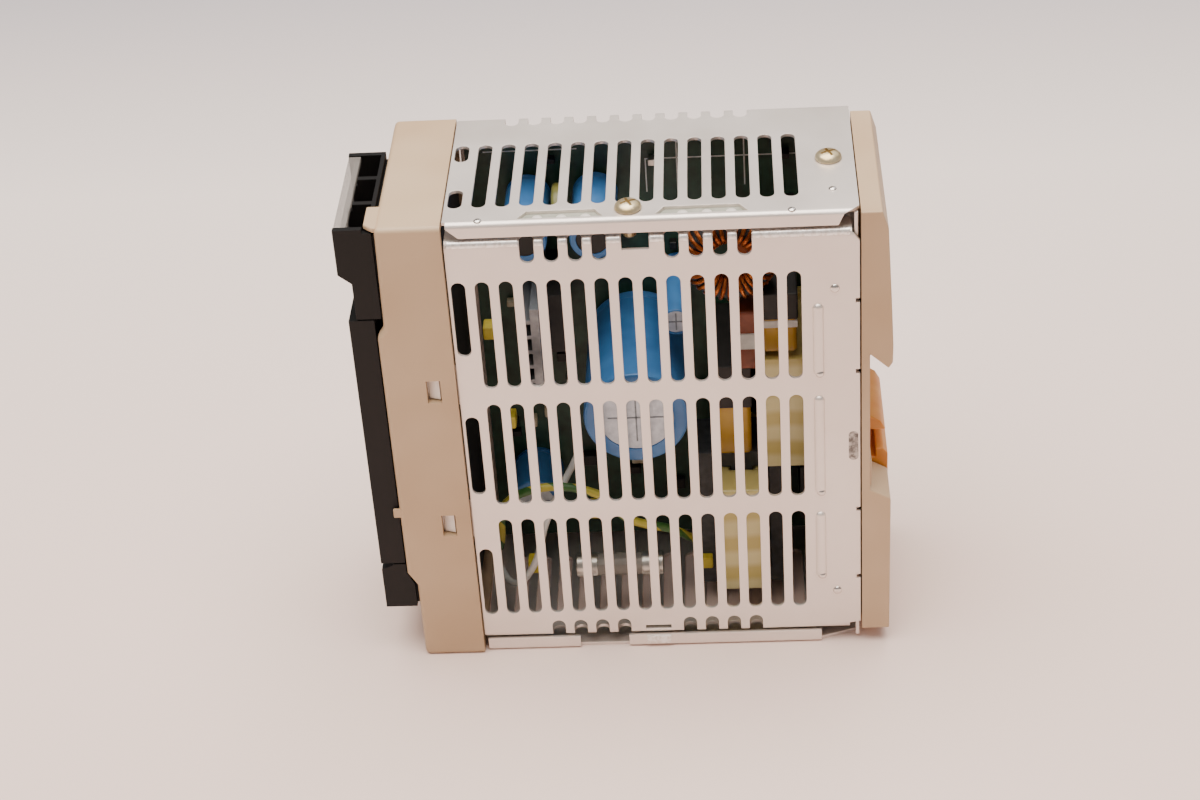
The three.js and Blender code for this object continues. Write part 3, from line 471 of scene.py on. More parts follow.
def prism(points, y0, y1):
    """A side view in X and Z carried across from y0 to y1, in millimetres."""
    shape = bmesh.new()
    face = shape.faces.new([shape.verts.new((x, y0, z)) for x, z in points])
    moved = bmesh.ops.extrude_face_region(shape, geom=[face])["geom"]
    bmesh.ops.translate(shape, vec=(0, y1 - y0, 0),
                        verts=[v for v in moved if isinstance(v, bmesh.types.BMVert)])
    bmesh.ops.recalc_face_normals(shape, faces=shape.faces)
    return shape


def brick(low, high):
    """A plain block between two corners, in millimetres."""
    shape = bmesh.new()
    bmesh.ops.create_cube(shape, size=1)
    bmesh.ops.scale(shape, vec=Vector(high) - Vector(low), verts=shape.verts)
    bmesh.ops.translate(shape, vec=(Vector(high) + Vector(low)) / 2, verts=shape.verts)
    return shape


def round_edges(shape, width, segments=3, pick=lambda edge: True, angle=30):
    """Rounds the sharp edges that pick chooses."""
    sharp = [e for e in shape.edges
             if len(e.link_faces) == 2 and e.calc_face_angle() > math.radians(angle) and pick(e)]
    bmesh.ops.bevel(shape, geom=sharp, offset=width, affect="EDGES", segments=segments, profile=0.5,
                    material=-1, clamp_overlap=True)
    return shape


def as_mesh(shape, name="shape"):
    """Turns a finished shape to metres and makes it a mesh."""
    bmesh.ops.scale(shape, vec=(MM, MM, MM), verts=shape.verts)
    mesh = bpy.data.meshes.new(name)
    shape.to_mesh(mesh)
    shape.free()
    return mesh


def carved(shape, cutters):
    """Cuts the cutters from a shape, and returns what is left as a mesh in metres."""
    helpers = [bpy.data.objects.new("cut", as_mesh(s)) for s in [shape, *cutters]]
    for helper in helpers:
        bpy.context.scene.collection.objects.link(helper)
    for cutter in helpers[1:]:
        step = helpers[0].modifiers.new("cut", "BOOLEAN")
        step.operation = "DIFFERENCE"
        step.solver = "EXACT"
        step.object = cutter
    bpy.context.view_layer.update()
    mesh = bpy.data.meshes.new_from_object(helpers[0].evaluated_get(bpy.context.evaluated_depsgraph_get()))
    mesh.materials.clear()
    for helper in helpers:
        bpy.data.objects.remove(helper)
    return mesh


def softened(node, name, material, body="case", width=0.25, segments=2):
    """A copy of a CAD node with its edges broken, as every moulded or pressed piece has them."""
    shape = bmesh.new()
    shape.from_mesh(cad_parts[node].data)
    bmesh.ops.remove_doubles(shape, verts=shape.verts, dist=1e-6)
    bmesh.ops.dissolve_limit(shape, angle_limit=0.02, verts=shape.verts, edges=shape.edges)
    bmesh.ops.scale(shape, vec=(1 / MM, 1 / MM, 1 / MM), verts=shape.verts)
    round_edges(shape, width, segments)
    return link_piece(name, as_mesh(shape, name), material, body=body, replaces=(node,))


# Front bezel: one beige ABS moulding round the front, with rounded outer edges, two latch windows in its
# side, a raised stretch beside the front panel and a shelf over the first terminal.
# Moulded ABS: an even satin beige, a shade uneven over a few centimetres, with a fine spark-eroded grain.
beige = new_finish("moulded_beige_abs", "#BCA080", 0.5, IOR=1.5,
                   tones=dict(grain=30, detail=2.0, dark="#B79A79", light="#C1A686", ends=(0.35, 0.65)),
                   relief=dict(grain=0.45, detail=2.0, strength=0.3, depth=0.03))

bezel_low, bezel_high = extent("front_bezel")
block_low, block_high = extent("upper_terminal_block")
lower_block_foot = extent("lower_terminal_block")[0].z
BEZEL_WALL = 2.0
GAP = 0.3
BEZEL_FACE = block_low.x + 8.9
BEZEL_LIP = block_low.x + 6.9
BEZEL_REAR = bezel_high.x
BEZEL_NEAR = bezel_low.y
BEZEL_FAR = bezel_high.y
bezel_profile = [
    (BEZEL_REAR, 0), (BEZEL_REAR, HEIGHT), (BEZEL_FACE, HEIGHT), (BEZEL_FACE - 0.4, HEIGHT - 24.9),
    (BEZEL_LIP, HEIGHT - 26.6), (BEZEL_LIP, 23.9), (BEZEL_FACE, 20.4), (BEZEL_FACE, 0),
]
bezel_body = prism(bezel_profile, BEZEL_NEAR, BEZEL_FAR)
round_edges(bezel_body, 1.3, 4, pick=lambda e: not all(v.co.x > BEZEL_REAR - 0.1 for v in e.verts))
WINDOW_X = (BEZEL_REAR - 6.55, BEZEL_REAR - 3.4)
WINDOW_Z = (HEIGHT - 41.2, HEIGHT - 77.55)
WINDOW_HALF = 2.9
inner_near = BEZEL_NEAR + BEZEL_WALL
inner_far = BEZEL_FAR - BEZEL_WALL
bezel_mesh = carved(bezel_body, [
    brick((BEZEL_FACE + BEZEL_WALL, inner_near, BEZEL_WALL),
          (BEZEL_REAR + 1, inner_far, HEIGHT - BEZEL_WALL)),
    brick((BEZEL_FACE - 9, inner_near, lower_block_foot - GAP), (BEZEL_FACE + 3, inner_far, block_low.z)),
    brick((BEZEL_FACE - 9, inner_near, block_low.z - 1),
          (BEZEL_FACE + 3, block_high.y + GAP, HEIGHT - BEZEL_WALL)),
    *(brick((WINDOW_X[0], BEZEL_NEAR - 1, z - WINDOW_HALF), (WINDOW_X[1], BEZEL_NEAR + 4, z + WINDOW_HALF))
      for z in WINDOW_Z),
])
link_piece("front_bezel_moulding", bezel_mesh, beige, replaces=("front_bezel",))

SHELF_EDGE = BEZEL_FACE - 2.4
SHELF_ROOT = BEZEL_FACE + 0.6
SHELF_NEAR = BEZEL_NEAR + 0.9
SHELF_FAR = NEAR + 9.2
SHELF_THICK = 1.2
SHELF_UNDER = HEIGHT - 1.25
shelf = bmesh.new()
shelf_points = [(SHELF_ROOT, SHELF_NEAR), (SHELF_ROOT, SHELF_FAR), (SHELF_EDGE, SHELF_FAR),
                (SHELF_EDGE, BEZEL_NEAR + 2.6), (BEZEL_FACE - 0.4, SHELF_NEAR)]
shelf_face = shelf.faces.new([shelf.verts.new((x, y, SHELF_UNDER)) for x, y in shelf_points])
shelf_top = bmesh.ops.extrude_face_region(shelf, geom=[shelf_face])["geom"]
bmesh.ops.translate(shelf, vec=(0, 0, SHELF_THICK),
                    verts=[v for v in shelf_top if isinstance(v, bmesh.types.BMVert)])
bmesh.ops.recalc_face_normals(shelf, faces=shelf.faces)
link_piece("bezel_shelf", as_mesh(round_edges(shelf, 0.35, 3)), beige)

catch = brick((BEZEL_LIP - 1.4, BEZEL_NEAR + 0.3, HEIGHT - 75.1), (BEZEL_LIP + 0.6, NEAR, HEIGHT - 72.8))
link_piece("bezel_catch", as_mesh(round_edges(catch, 0.2, 2)), beige)


# Latch tongues: two strips of the side cover run forward under the bezel, and a bright pressed lug on
# each one springs out into the bezel's window.
# Bright pressed steel: paler than the sheet round it, with small rolling marks.
lug_metal = new_finish("bright_pressed_lug", "#E6DED6", 0.4, 0.25,
                       relief=dict(grain=0.9, detail=2.0, strength=0.25, depth=0.03))
for i, z in enumerate(WINDOW_Z):
    tongue_y = inner_near + GAP
    strip = brick((WINDOW_X[0] - 2, tongue_y, z - 5), (CASE_FRONT + 1, tongue_y + SHEET, z + 5))
    link_piece(f"latch_tongue_{i + 1}", as_mesh(round_edges(strip, 0.15, 2)), case_metal)
    wedge = prism([(WINDOW_X[0] + GAP, z - 2.6), (WINDOW_X[1] - GAP, z - 2.6), (WINDOW_X[1] - GAP, z + 2.6),
                   (WINDOW_X[0] + GAP, z + 2.6)], NEAR - 0.2, tongue_y + 0.4)
    for vert in wedge.verts:
        if vert.co.y < NEAR and vert.co.x < WINDOW_X[0] + 1:
            vert.co.y += 0.9
    link_piece(f"latch_lug_{i + 1}", as_mesh(round_edges(wedge, 0.25, 3)), lug_metal)


# Pressed marks in the cover: three stiffening ribs near its rear edge, each ending in a small round boss,
# with locating dimples above and below, a locking tab at the foot and the bend under the case's lip both
# painted near white as highlights, a rubbed patch of plating, and two shallow studded recesses in the top
# whose floors are painted darker as shade.
RIB_X = 42.7
RIB_HALF = 1.2
RIB_SPANS = ((74.3, 92.5), (42.6, 68.9), (19.2, 37.6))
RECESS_FLOOR = HEIGHT - 0.75
# Steel stretched over a punch: almost a mirror, so each boss catches one glint.
polished = new_finish("polished_boss", "#DAD3CD", 0.16, 0.95,
                      polish=dict(grain=0.8, detail=2.0, low=0.1, high=0.24))
# Plated steel, darker and slightly greener than the sheet: painted shade on the floors of the shallow
# recesses.
recess_shade_paint = new_finish("recess_painted_shade", "#A9A99C", 0.5, 0.5,
                          tones=dict(grain=5, detail=2.0, dark="#9D9E90", light="#B7B6AA"))
# Painted highlight: near white, with fine scuffs across it, for the light caught along a bend.
bend_highlight_paint = new_finish("painted_bend_highlight", "#F6F1EC", 0.3, 0.6,
                       tones=dict(grain=0.9, detail=3.0, dark="#E2DAD3", light="#FBF8F5", ends=(0.35, 0.6)),
                       relief=dict(grain=0.7, detail=3.0, strength=0.5, depth=0.06))


def bump_out(name, place, half, rise, material, stretch=0, axis="y"):
    """A rounded boss of half width and rise, drawn out upwards by stretch, standing on y or z."""
    shape = bmesh.new()
    bmesh.ops.create_uvsphere(shape, u_segments=24, v_segments=16, radius=1)
    bmesh.ops.scale(shape, vec=(half, rise, half) if axis == "y" else (half, half, rise), verts=shape.verts)
    bmesh.ops.translate(shape, vec=(0, 0, stretch), verts=[v for v in shape.verts if v.co.z > 0.001])
    bmesh.ops.translate(shape, vec=place, verts=shape.verts)
    return link_piece(name, as_mesh(shape), material, smooth_angle=180)


for i, (foot, top) in enumerate(RIB_SPANS):
    bump_out(f"cover_rib_{i + 1}", (RIB_X, NEAR + 0.1, foot + RIB_HALF), RIB_HALF, 0.85, case_metal,
             top - foot - 2 * RIB_HALF)
    bump_out(f"cover_rib_boss_{i + 1}", (RIB_X + 0.2, NEAR - 0.1, foot + 0.6), 1.0, 0.88, polished)
for i, z in enumerate((96.2, 15.1)):
    bump_out(f"cover_dimple_{i + 1}", (46.3, NEAR + 0.05, z), 1.05, 0.6, polished)
for i, (x, y) in enumerate(((-28, -22.2), (37.6, -22.2), (46.4, -14.1))):
    bump_out(f"top_dimple_{i + 1}", (x, y, HEIGHT - 0.05), 0.9, 0.45, polished, axis="z")
# The floors of the two recesses are painted darker, as the shade in them.
for i, (x0, x1) in enumerate(TOP_WINDOWS):
    pan = brick((x0 - 0.5, NEAR + 1.2, HEIGHT - 1.5), (x1 + 0.5, NEAR + 5.2, RECESS_FLOOR))
    link_piece(f"top_recess_{i + 1}", as_mesh(pan), recess_shade_paint)
for k in (3, 4, 5, 9, 10, 11):
    bump_out(f"top_recess_stud_{k}", (column_x(k) + PITCH / 2, NEAR + 2.6, RECESS_FLOOR), 1.15, 0.5,
             lug_metal, axis="z")
BEND_ROUND = 1.1
BEND_SINK = 0.08
slot_sides = [x for k in SHORT_SLOTS for x in (column_x(k) - 1.7, column_x(k) + 1.7)]
bend_ends = sorted([CASE_FRONT + 0.6, *slot_sides, middle - 3.1, middle + 3.1, CASE_REAR - 2])
# The bend is painted near white, as the highlight along it.
for i, (x0, x1) in enumerate(zip(bend_ends[::2], bend_ends[1::2])):
    roll = bmesh.new()
    bmesh.ops.create_cone(roll, cap_ends=True, segments=24, radius1=BEND_ROUND, radius2=BEND_ROUND,
                          depth=x1 - x0, matrix=Matrix.Rotation(math.pi / 2, 4, "Y"))
    bend_axis = ((x0 + x1) / 2, NEAR + BEND_ROUND - BEND_SINK, COVER_TOP - BEND_ROUND + BEND_SINK)
    bmesh.ops.translate(roll, vec=bend_axis, verts=roll.verts)
    link_piece(f"cover_bend_{i + 1}", as_mesh(round_edges(roll, 0.15, 2)), bend_highlight_paint)
# The locking tab is painted near white as well, as a highlight.
tab = brick((TAB_X[0] + 0.1, NEAR - 0.4, 1.1), (TAB_X[1] - 0.1, NEAR + 0.2, 3.3))
link_piece("cover_lock_tab", as_mesh(round_edges(tab, 0.18, 2)), bend_highlight_paint)
# Plating worn off by handling: blotchy grey with specks of the bright metal.
rubbed = new_finish("rubbed_dull_plating", "#8F8883", 0.6, 0.4,
                    tones=dict(grain=1.1, detail=4.0, dark="#6C6561", light="#BFB5AE", ends=(0.4, 0.62)),
                    relief=dict(grain=0.6, detail=3.0, strength=0.5, depth=0.05))
bump_out("cover_rubbed_patch", (50.1, NEAR + 0.01, 52.6), 1.1, 0.06, rubbed, 5.6)


# Rail base: a beige moulding behind the case, with the fixed hook above, slanted cheeks below and rail
# pads beside the channel of the sliding stopper.
base_low, base_high = extent("rail_base")
stopper_low, stopper_high = extent("rail_stopper")
BASE_FLOOR = base_low.x + 1.8
RAIL_TOP = 79.2
RAIL_LEDGE = 43.6
HOOK_TIP = base_low.x + 5.4
base_profile = [
    (base_low.x, base_low.z), (base_high.x - 0.6, base_low.z), (base_high.x - 0.4, RAIL_LEDGE - 3),
    (base_high.x - 0.7, RAIL_LEDGE - 2.4), (BASE_FLOOR, RAIL_LEDGE), (BASE_FLOOR, RAIL_TOP + 0.2),
    (HOOK_TIP, RAIL_TOP - 3.1), (HOOK_TIP + 0.4, RAIL_TOP - 3.5), (base_high.x - 0.1, RAIL_TOP - 2),
    (base_high.x, RAIL_TOP + 2.2), (base_high.x - 0.4, HEIGHT - 22), (base_high.x - 1.1, HEIGHT - 4.6),
    (base_high.x - 2.4, base_high.z), (base_low.x, base_high.z),
]
base_body = prism(base_profile, base_low.y, base_high.y)
round_edges(base_body, 0.45, 3, angle=20,
            pick=lambda e: not all(v.co.x < base_low.x + 0.1 for v in e.verts))
channel = (stopper_low.y - 0.4, stopper_high.y + 0.4)
base_mesh = carved(base_body, [
    brick((base_low.x - 1, channel[0], base_low.z - 1), (BASE_FLOOR, channel[1], stopper_high.z + 1.5)),
    brick((base_low.x - 1, channel[0], 30), (base_high.x + 1, channel[1], stopper_high.z + 1.5)),
])
link_piece("rail_base_moulding", base_mesh, beige, replaces=("rail_base",))
for i, (y0, y1) in enumerate(((base_low.y + 1, stopper_low.y - 2), (stopper_high.y + 2, base_high.y - 1))):
    pad = brick((BASE_FLOOR - 0.3, y0, RAIL_LEDGE + 0.6), (BASE_FLOOR + 0.4, y1, RAIL_LEDGE + 7))
    link_piece(f"rail_pad_{i + 1}", as_mesh(round_edges(pad, 0.15, 2)), beige)

# Rail stopper: one amber moulding that slides in the base's channel. Its wedge catches the rail from
# below, and its tongue is what a finger or a screwdriver pulls.
# Moulded acetal: waxy orange, lit a little way below its surface.
amber = new_finish("amber_acetal", "#C98234", 0.38, IOR=1.48,
                   Subsurface_Weight=0.25, Subsurface_Scale=0.002,
                   tones=dict(grain=9, detail=2.0, dark="#C07828", light="#D49648"),
                   relief=dict(grain=0.5, detail=2.0, strength=0.2, depth=0.03))
softened("rail_stopper", "rail_stopper_moulding", amber, "rail_stopper", 0.3, 3)


# Terminal blocks and front panel: black moulded plastic set into the bezel, three deep cells to each
# block with a barrier between them, and a flat panel between the two blocks.
# Moulded PBT with glass in it: almost black, with a fine even grain. Its IOR is set under the plastic's
# own, to keep the gloss as low as the grain makes it.
black = new_finish("moulded_black_pbt", "#0A0808", 0.5, IOR=1.33,
                   tones=dict(grain=24, detail=2.0, dark="#080707", light="#0E0C0C"),
                   relief=dict(grain=0.4, detail=2.0, strength=0.35, depth=0.03))
for row in ("upper", "lower"):
    softened(f"{row}_terminal_block", f"{row}_block_moulding", black, width=0.2)
softened("front_panel", "front_panel_moulding", black, width=0.25)

# Terminal covers: thin smoke-grey polycarbonate flaps, each hinged on its own block, clear enough to
# see the screws through.
# Clear polycarbonate with a grey tint: glossy, and a little under half transparent.
smoke = new_finish("smoke_polycarbonate", "#8F8984", 0.22, IOR=1.585, Alpha=0.55,
                   polish=dict(grain=12, detail=2.0, low=0.18, high=0.32))
smoke.surface_render_method = "BLENDED"
for row in ("upper", "lower"):
    flap = f"{row}_terminal_cover"
    softened(flap, f"{row}_cover_moulding", smoke, flap, 0.15)

# Terminal screws and plates: a cheese-head screw with a square washer in each cell, zinc plated and
# passivated to a pale yellow, on a bright plate that runs back into the case.
# Zinc plate, passivated yellow: straw coloured and uneven, with small bright spots.
zinc = new_finish("yellow_passivated_zinc", "#D6C6A2", 0.32, 0.85,
                  tones=dict(grain=2.5, detail=3.0, dark="#C6B083", light="#E4D7B8"),
                  polish=dict(grain=0.8, detail=3.0, low=0.25, high=0.45))
# Tinned brass: soft silver with a slightly cloudy polish.
tinned = new_finish("tinned_brass_plate", "#CFCAC2", 0.3, 0.9,
                    tones=dict(grain=3, detail=3.0, dark="#BDB7AD", light="#DCD8D1"),
                    polish=dict(grain=1.0, detail=3.0, low=0.22, high=0.42))
for row in ("upper", "lower"):
    for k in (1, 2, 3):
        screw = f"{row}_terminal_screw_{k}"
        softened(screw, f"{screw}_turned", zinc, screw, 0.18)
        softened(f"{row}_terminal_plate_{k}", f"{row}_plate_{k}_pressed", tinned, width=0.1)

# Controls: a tinted display window over the module behind it, three grey rubber-feel keys, a white
# trimmer in its housing and two lamps, all carried by the front board.
# Dyed acrylic: a dark brownish red, glossy, that hides most of the module behind it.
window_red = new_finish("dark_red_display_window", "#3A0E10", 0.12, IOR=1.49, Alpha=0.9,
                        polish=dict(grain=15, detail=2.0, low=0.08, high=0.18))
softened("display_window", "display_window_moulding", window_red, width=0.2)
# Moulded rubber-coated plastic: a flat grey with hardly any gloss.
key_grey = new_finish("soft_grey_key_plastic", "#8E8C88", 0.6,
                      tones=dict(grain=6, detail=2.0, dark="#888682", light="#95938F"),
                      relief=dict(grain=0.3, detail=2.0, strength=0.3, depth=0.02))
for key in ("down_key", "mode_key", "up_key"):
    softened(key, f"{key}_cap", key_grey, key, 0.25, 3)
# Moulded nylon: a warm white, a little waxy.
white_nylon = new_finish("white_nylon", "#E4E0D6", 0.45, IOR=1.52,
                         tones=dict(grain=5, detail=2.0, dark="#DDD8CC", light="#E9E6DD"),
                         relief=dict(grain=0.4, detail=2.0, strength=0.2, depth=0.02))
softened("voltage_trimmer", "voltage_trimmer_rotor", white_nylon, "voltage_trimmer", 0.15)
# Moulded thermoset: a plain mid blue.
trimmer_blue = new_finish("blue_trimmer_housing", "#2F5E96", 0.4,
                          tones=dict(grain=4, detail=2.0, dark="#2A5689", light="#3667A2"))
softened("trimmer_housing", "trimmer_housing_moulding", trimmer_blue, width=0.15)
for lamp_node, name, tone, slot in (("output_on_lamp", "green_lamp_epoxy", "#2FA05A", "green_lens"),
                                    ("alarm_lamp", "red_lamp_epoxy", "#B02A24", "red_lens")):
    # Cast epoxy lens: coloured through, glossy, and it lets some light in.
    lens = new_finish(name, tone, 0.2, IOR=1.54, Transmission_Weight=0.35,
                      polish=dict(grain=1.5, detail=2.0, low=0.15, high=0.3))
    softened(lamp_node, f"{lamp_node}_lens", lens, width=0.2)
# Cast epoxy: black, smooth and slightly glossy.
display_black = new_finish("black_display_epoxy", "#161414", 0.3,
                           polish=dict(grain=8, detail=2.0, low=0.25, high=0.4))
softened("display_module", "display_module_block", display_black, width=0.2)


# Inner boards: green solder-masked laminate, the main board standing along the far wall on four turned
# posts, with small parts between the large ones, and a small upright board behind the front panel.
# Solder mask over glass cloth: dark green, mottled by the copper under it.
laminate = new_finish("green_solder_mask", "#24402F", 0.4, IOR=1.53,
                      tones=dict(grain=5, detail=4.0, dark="#1B3425", light="#2E5440"),
                      relief=dict(grain=1.2, detail=2.0, strength=0.3, depth=0.03))
softened("main_board", "main_board_laminate", laminate, width=0.1)
softened("front_board", "front_board_laminate", laminate, width=0.1)
for i in range(1, 5):
    softened(f"board_standoff_{i}", f"standoff_{i}_turned", tinned, width=0.15)

# Moulded epoxy: charcoal, matt from the mould.
chip_black = new_finish("black_epoxy_moulding", "#1C1A19", 0.5,
                        tones=dict(grain=3, detail=2.0, dark="#191716", light="#24211F"),
                        relief=dict(grain=0.3, detail=2.0, strength=0.3, depth=0.02))
# Baked lacquer: cream with darker patches.
resistor = new_finish("lacquered_resistor", "#C9BE9A", 0.4,
                      tones=dict(grain=1.8, detail=1.0, dark="#B9A982", light="#DDD6BE"))
softened("output_rectifier", "output_rectifier_moulding", chip_black, width=0.15)
softened("power_transistor", "power_transistor_moulding", chip_black, width=0.15)

board_low, board_high = extent("main_board")
inner_nodes = ["bulk_capacitor", "output_capacitor_1", "output_capacitor_2", "output_capacitor_3",
               "start_capacitor", "varistor", "output_choke", "transformer_core", "transformer_winding",
               "line_filter", "film_capacitor", "x_capacitor", "fuse", "output_heat_sink",
               "input_heat_sink", "output_rectifier", "power_transistor"]
taken = [extent(node) for node in inner_nodes]
SMALL_PARTS = 46
BOARD_MARGIN = 4
PART_GAP = 0.4
chance = random.Random(11)
small_parts = 0
while small_parts < SMALL_PARTS:
    half = (chance.uniform(0.7, 2.0), chance.uniform(0.6, 1.5))
    x = chance.uniform(board_low.x + BOARD_MARGIN, board_high.x - BOARD_MARGIN)
    z = chance.uniform(board_low.z + BOARD_MARGIN, board_high.z - BOARD_MARGIN)
    room_x, room_z = half[0] + PART_GAP, half[1] + PART_GAP
    if any(low.x - room_x < x < high.x + room_x and low.z - room_z < z < high.z + room_z
           for low, high in taken):
        continue
    taken.append((Vector((x - half[0], 0, z - half[1])), Vector((x + half[0], 0, z + half[1]))))
    small_parts += 1
    chip = brick((x - half[0], board_low.y - chance.uniform(0.8, 3.2), z - half[1]),
                 (x + half[0], board_low.y + 0.2, z + half[1]))
    link_piece(f"board_part_{small_parts}", as_mesh(round_edges(chip, 0.15, 1)),
               chance.choice((chip_black, chip_black, resistor, tinned)))


# Board printing and oddments: fine white outlines on the board's face, yellow connectors, a brown
# resistor with a white ceramic clip between the choke and the film capacitor, and black moulded caps over
# the two film capacitors.
# Screen-printed ink: a thin flat white.
print_white = new_finish("white_board_ink", "#E3E6E0", 0.6,
                         tones=dict(grain=1.5, detail=2.0, dark="#D6DAD3", light="#ECEFE9"))
ink_lines = [((6, 106.3), (46, 106.6)), ((6, 98), (6.3, 106.3)), ((13, 98), (13.3, 111)),
             ((28, 99), (28.3, 111)), ((36, 98), (36.3, 110)), ((44, 97), (44.3, 111)),
             ((-30, 109.5), (-9, 109.8))]
for i, ((x0, z0), (x1, z1)) in enumerate(ink_lines):
    line = brick((x0, board_low.y - 0.06, z0), (x1, board_low.y + 0.1, z1))
    link_piece(f"board_ink_{i + 1}", as_mesh(line), print_white)
# Moulded nylon: strong yellow, satin.
yellow_nylon = new_finish("yellow_nylon_connector", "#D9C23A", 0.45,
                          tones=dict(grain=3, detail=2.0, dark="#CDB52F", light="#E3CF50"))
CONNECTORS = ((-24, -12, 15), (-8.6, -14, 32), (16.6, -9.5, 13), (-29, -13, 81), (-26.5, -10, 55))
for i, (x, y, z) in enumerate(CONNECTORS):
    connector = brick((x - 1.3, y, z - 1.6), (x + 1.3, y + 4, z + 1.6))
    link_piece(f"yellow_connector_{i + 1}", as_mesh(round_edges(connector, 0.4, 2)), yellow_nylon)
# Fired enamel: red brown and fairly glossy.
brown = new_finish("brown_enamel", "#7A3A22", 0.35,
                   tones=dict(grain=3, detail=2.0, dark="#6B3019", light="#8B4529"))
# Unglazed steatite: chalky white.
ceramic = new_finish("white_ceramic_clip", "#DEDAD2", 0.5,
                     tones=dict(grain=2, detail=2.0, dark="#D2CEC6", light="#E6E2DB"))
for name, low, high, rounding, segments, finish in (
        ("clip_resistor", (24.8, -14, 70), (29.8, 17, 85), 0.8, 3, brown),
        ("x_capacitor_cap", (30.6, -14, 82.6), (38.7, 17.2, 89.3), 0.5, 2, chip_black),
        ("film_capacitor_cap", (19.6, -10, 57), (28.2, 17.2, 68.3), 0.5, 2, chip_black),
        ("x_capacitor_band", (30.7, -13.95, 80.6), (38.6, 17.2, 82.4), 0.2, 2, ceramic),
        ("clip_ceramic", (24.5, -14.5, 75.5), (30.1, -6, 79.5), 0.4, 2, ceramic)):
    link_piece(name, as_mesh(round_edges(brick(low, high), rounding, segments)), finish)


# Painted shade: a thin black sheet stands between the boards and the hollow bezel, so that the first column
# of slots shows dark shade instead of the bezel's inside.
# Near black, slightly mottled and dull: painted shade inside the bezel.
shade_black = new_finish("black_painted_shade", "#1B1817", 0.7,
                   tones=dict(grain=4, detail=3.0, dark="#171413", light="#231F1D"))
SHADE_SHEET_HALF = 20.5
shade_sheet = brick((CASE_FRONT - 1.4, -SHADE_SHEET_HALF, 12), (CASE_FRONT - 1.0, SHADE_SHEET_HALF, 108))
link_piece("front_shade_sheet", as_mesh(round_edges(shade_sheet, 0.1, 1)), shade_black)


# Electrolytic capacitors: aluminium cans in shrunk blue sleeves that curl over the rim of each end and
# leave a scored grey disc bare. Two of the output capacitors show a black disc instead, with no score.
def turned(profile, x, z, steps=48):
    """A solid of revolution about a line through x and z, from a profile of radius and y."""
    shape = bmesh.new()
    verts = [shape.verts.new((x + radius, y, z)) for radius, y in profile]
    edges = [shape.edges.new(pair) for pair in zip(verts, verts[1:])]
    bmesh.ops.spin(shape, geom=verts + edges, cent=(x, 0, z), axis=(0, 1, 0), angle=2 * math.pi,
                   steps=steps, use_duplicate=False)
    bmesh.ops.remove_doubles(shape, verts=shape.verts, dist=1e-3)
    bmesh.ops.recalc_face_normals(shape, faces=shape.faces)
    return shape


# Shrunk polyester sleeve: clear mid blue, glossy, faintly rippled where it gripped the can.
sleeve = new_finish("blue_shrunk_sleeve", "#3F78B4", 0.34, IOR=1.54,
                    tones=dict(grain=8, detail=2.0, dark="#386FAA", light="#4A84C0"),
                    relief=dict(grain=3, detail=1.0, strength=0.15, depth=0.1))
# Drawn aluminium: pale grey, softly clouded.
can_metal = new_finish("bare_aluminium_can", "#B9C2CC", 0.4, 0.7,
                       tones=dict(grain=2, detail=3.0, dark="#AAB3BD", light="#C9D1D9"),
                       polish=dict(grain=0.8, detail=3.0, low=0.3, high=0.5))
# The scored line lies in its own shadow, so it is darker than the can.
scored = new_finish("scored_aluminium_shadow", "#7F8890", 0.5, 0.5,
                    tones=dict(grain=1, detail=2.0, dark="#757E86", light="#8B949C"))
for node in ("bulk_capacitor", "output_capacitor_1", "output_capacitor_2", "output_capacitor_3",
             "start_capacitor"):
    low, high = extent(node)
    x, z, r = (low.x + high.x) / 2, (low.z + high.z) / 2, (high.x - low.x) / 2
    rim = min(0.8, r * 0.12)
    bare = r * (0.72 if r > 4 else 0.88)
    groove = low.y + (high.y - low.y) * 0.93
    disc = chip_black if node in ("output_capacitor_1", "output_capacitor_2") else can_metal
    link_piece(f"{node}_sleeve", as_mesh(turned([
        (bare, low.y + 0.5), (bare, low.y + 0.1), (r - rim, low.y), (r - rim * 0.3, low.y + rim * 0.3),
        (r, low.y + rim), (r, groove - 1), (r - 0.5, groove), (r, groove + 1), (r, high.y - rim),
        (r - rim, high.y), (r - rim - 0.3, high.y), (r - rim - 0.3, low.y + 0.5),
        (bare, low.y + 0.5)], x, z)),
        sleeve, replaces=(node,))
    link_piece(f"{node}_can", as_mesh(turned([
        (0, low.y + 0.35), (bare - 0.1, low.y + 0.35), (bare - 0.1, low.y + 0.7),
        (r - rim - 0.5, low.y + 0.9), (r - rim - 0.5, high.y - 0.2), (0, high.y - 0.2)], x, z)), disc)
    for turn in (0, 1) if disc is can_metal else ():
        arm = (bare * 0.75, 0.18) if turn else (0.18, bare * 0.75)
        score = brick((x - arm[0], low.y + 0.28, z - arm[1]), (x + arm[0], low.y + 0.4, z + arm[1]))
        link_piece(f"{node}_vent_{turn + 1}", as_mesh(score), scored)


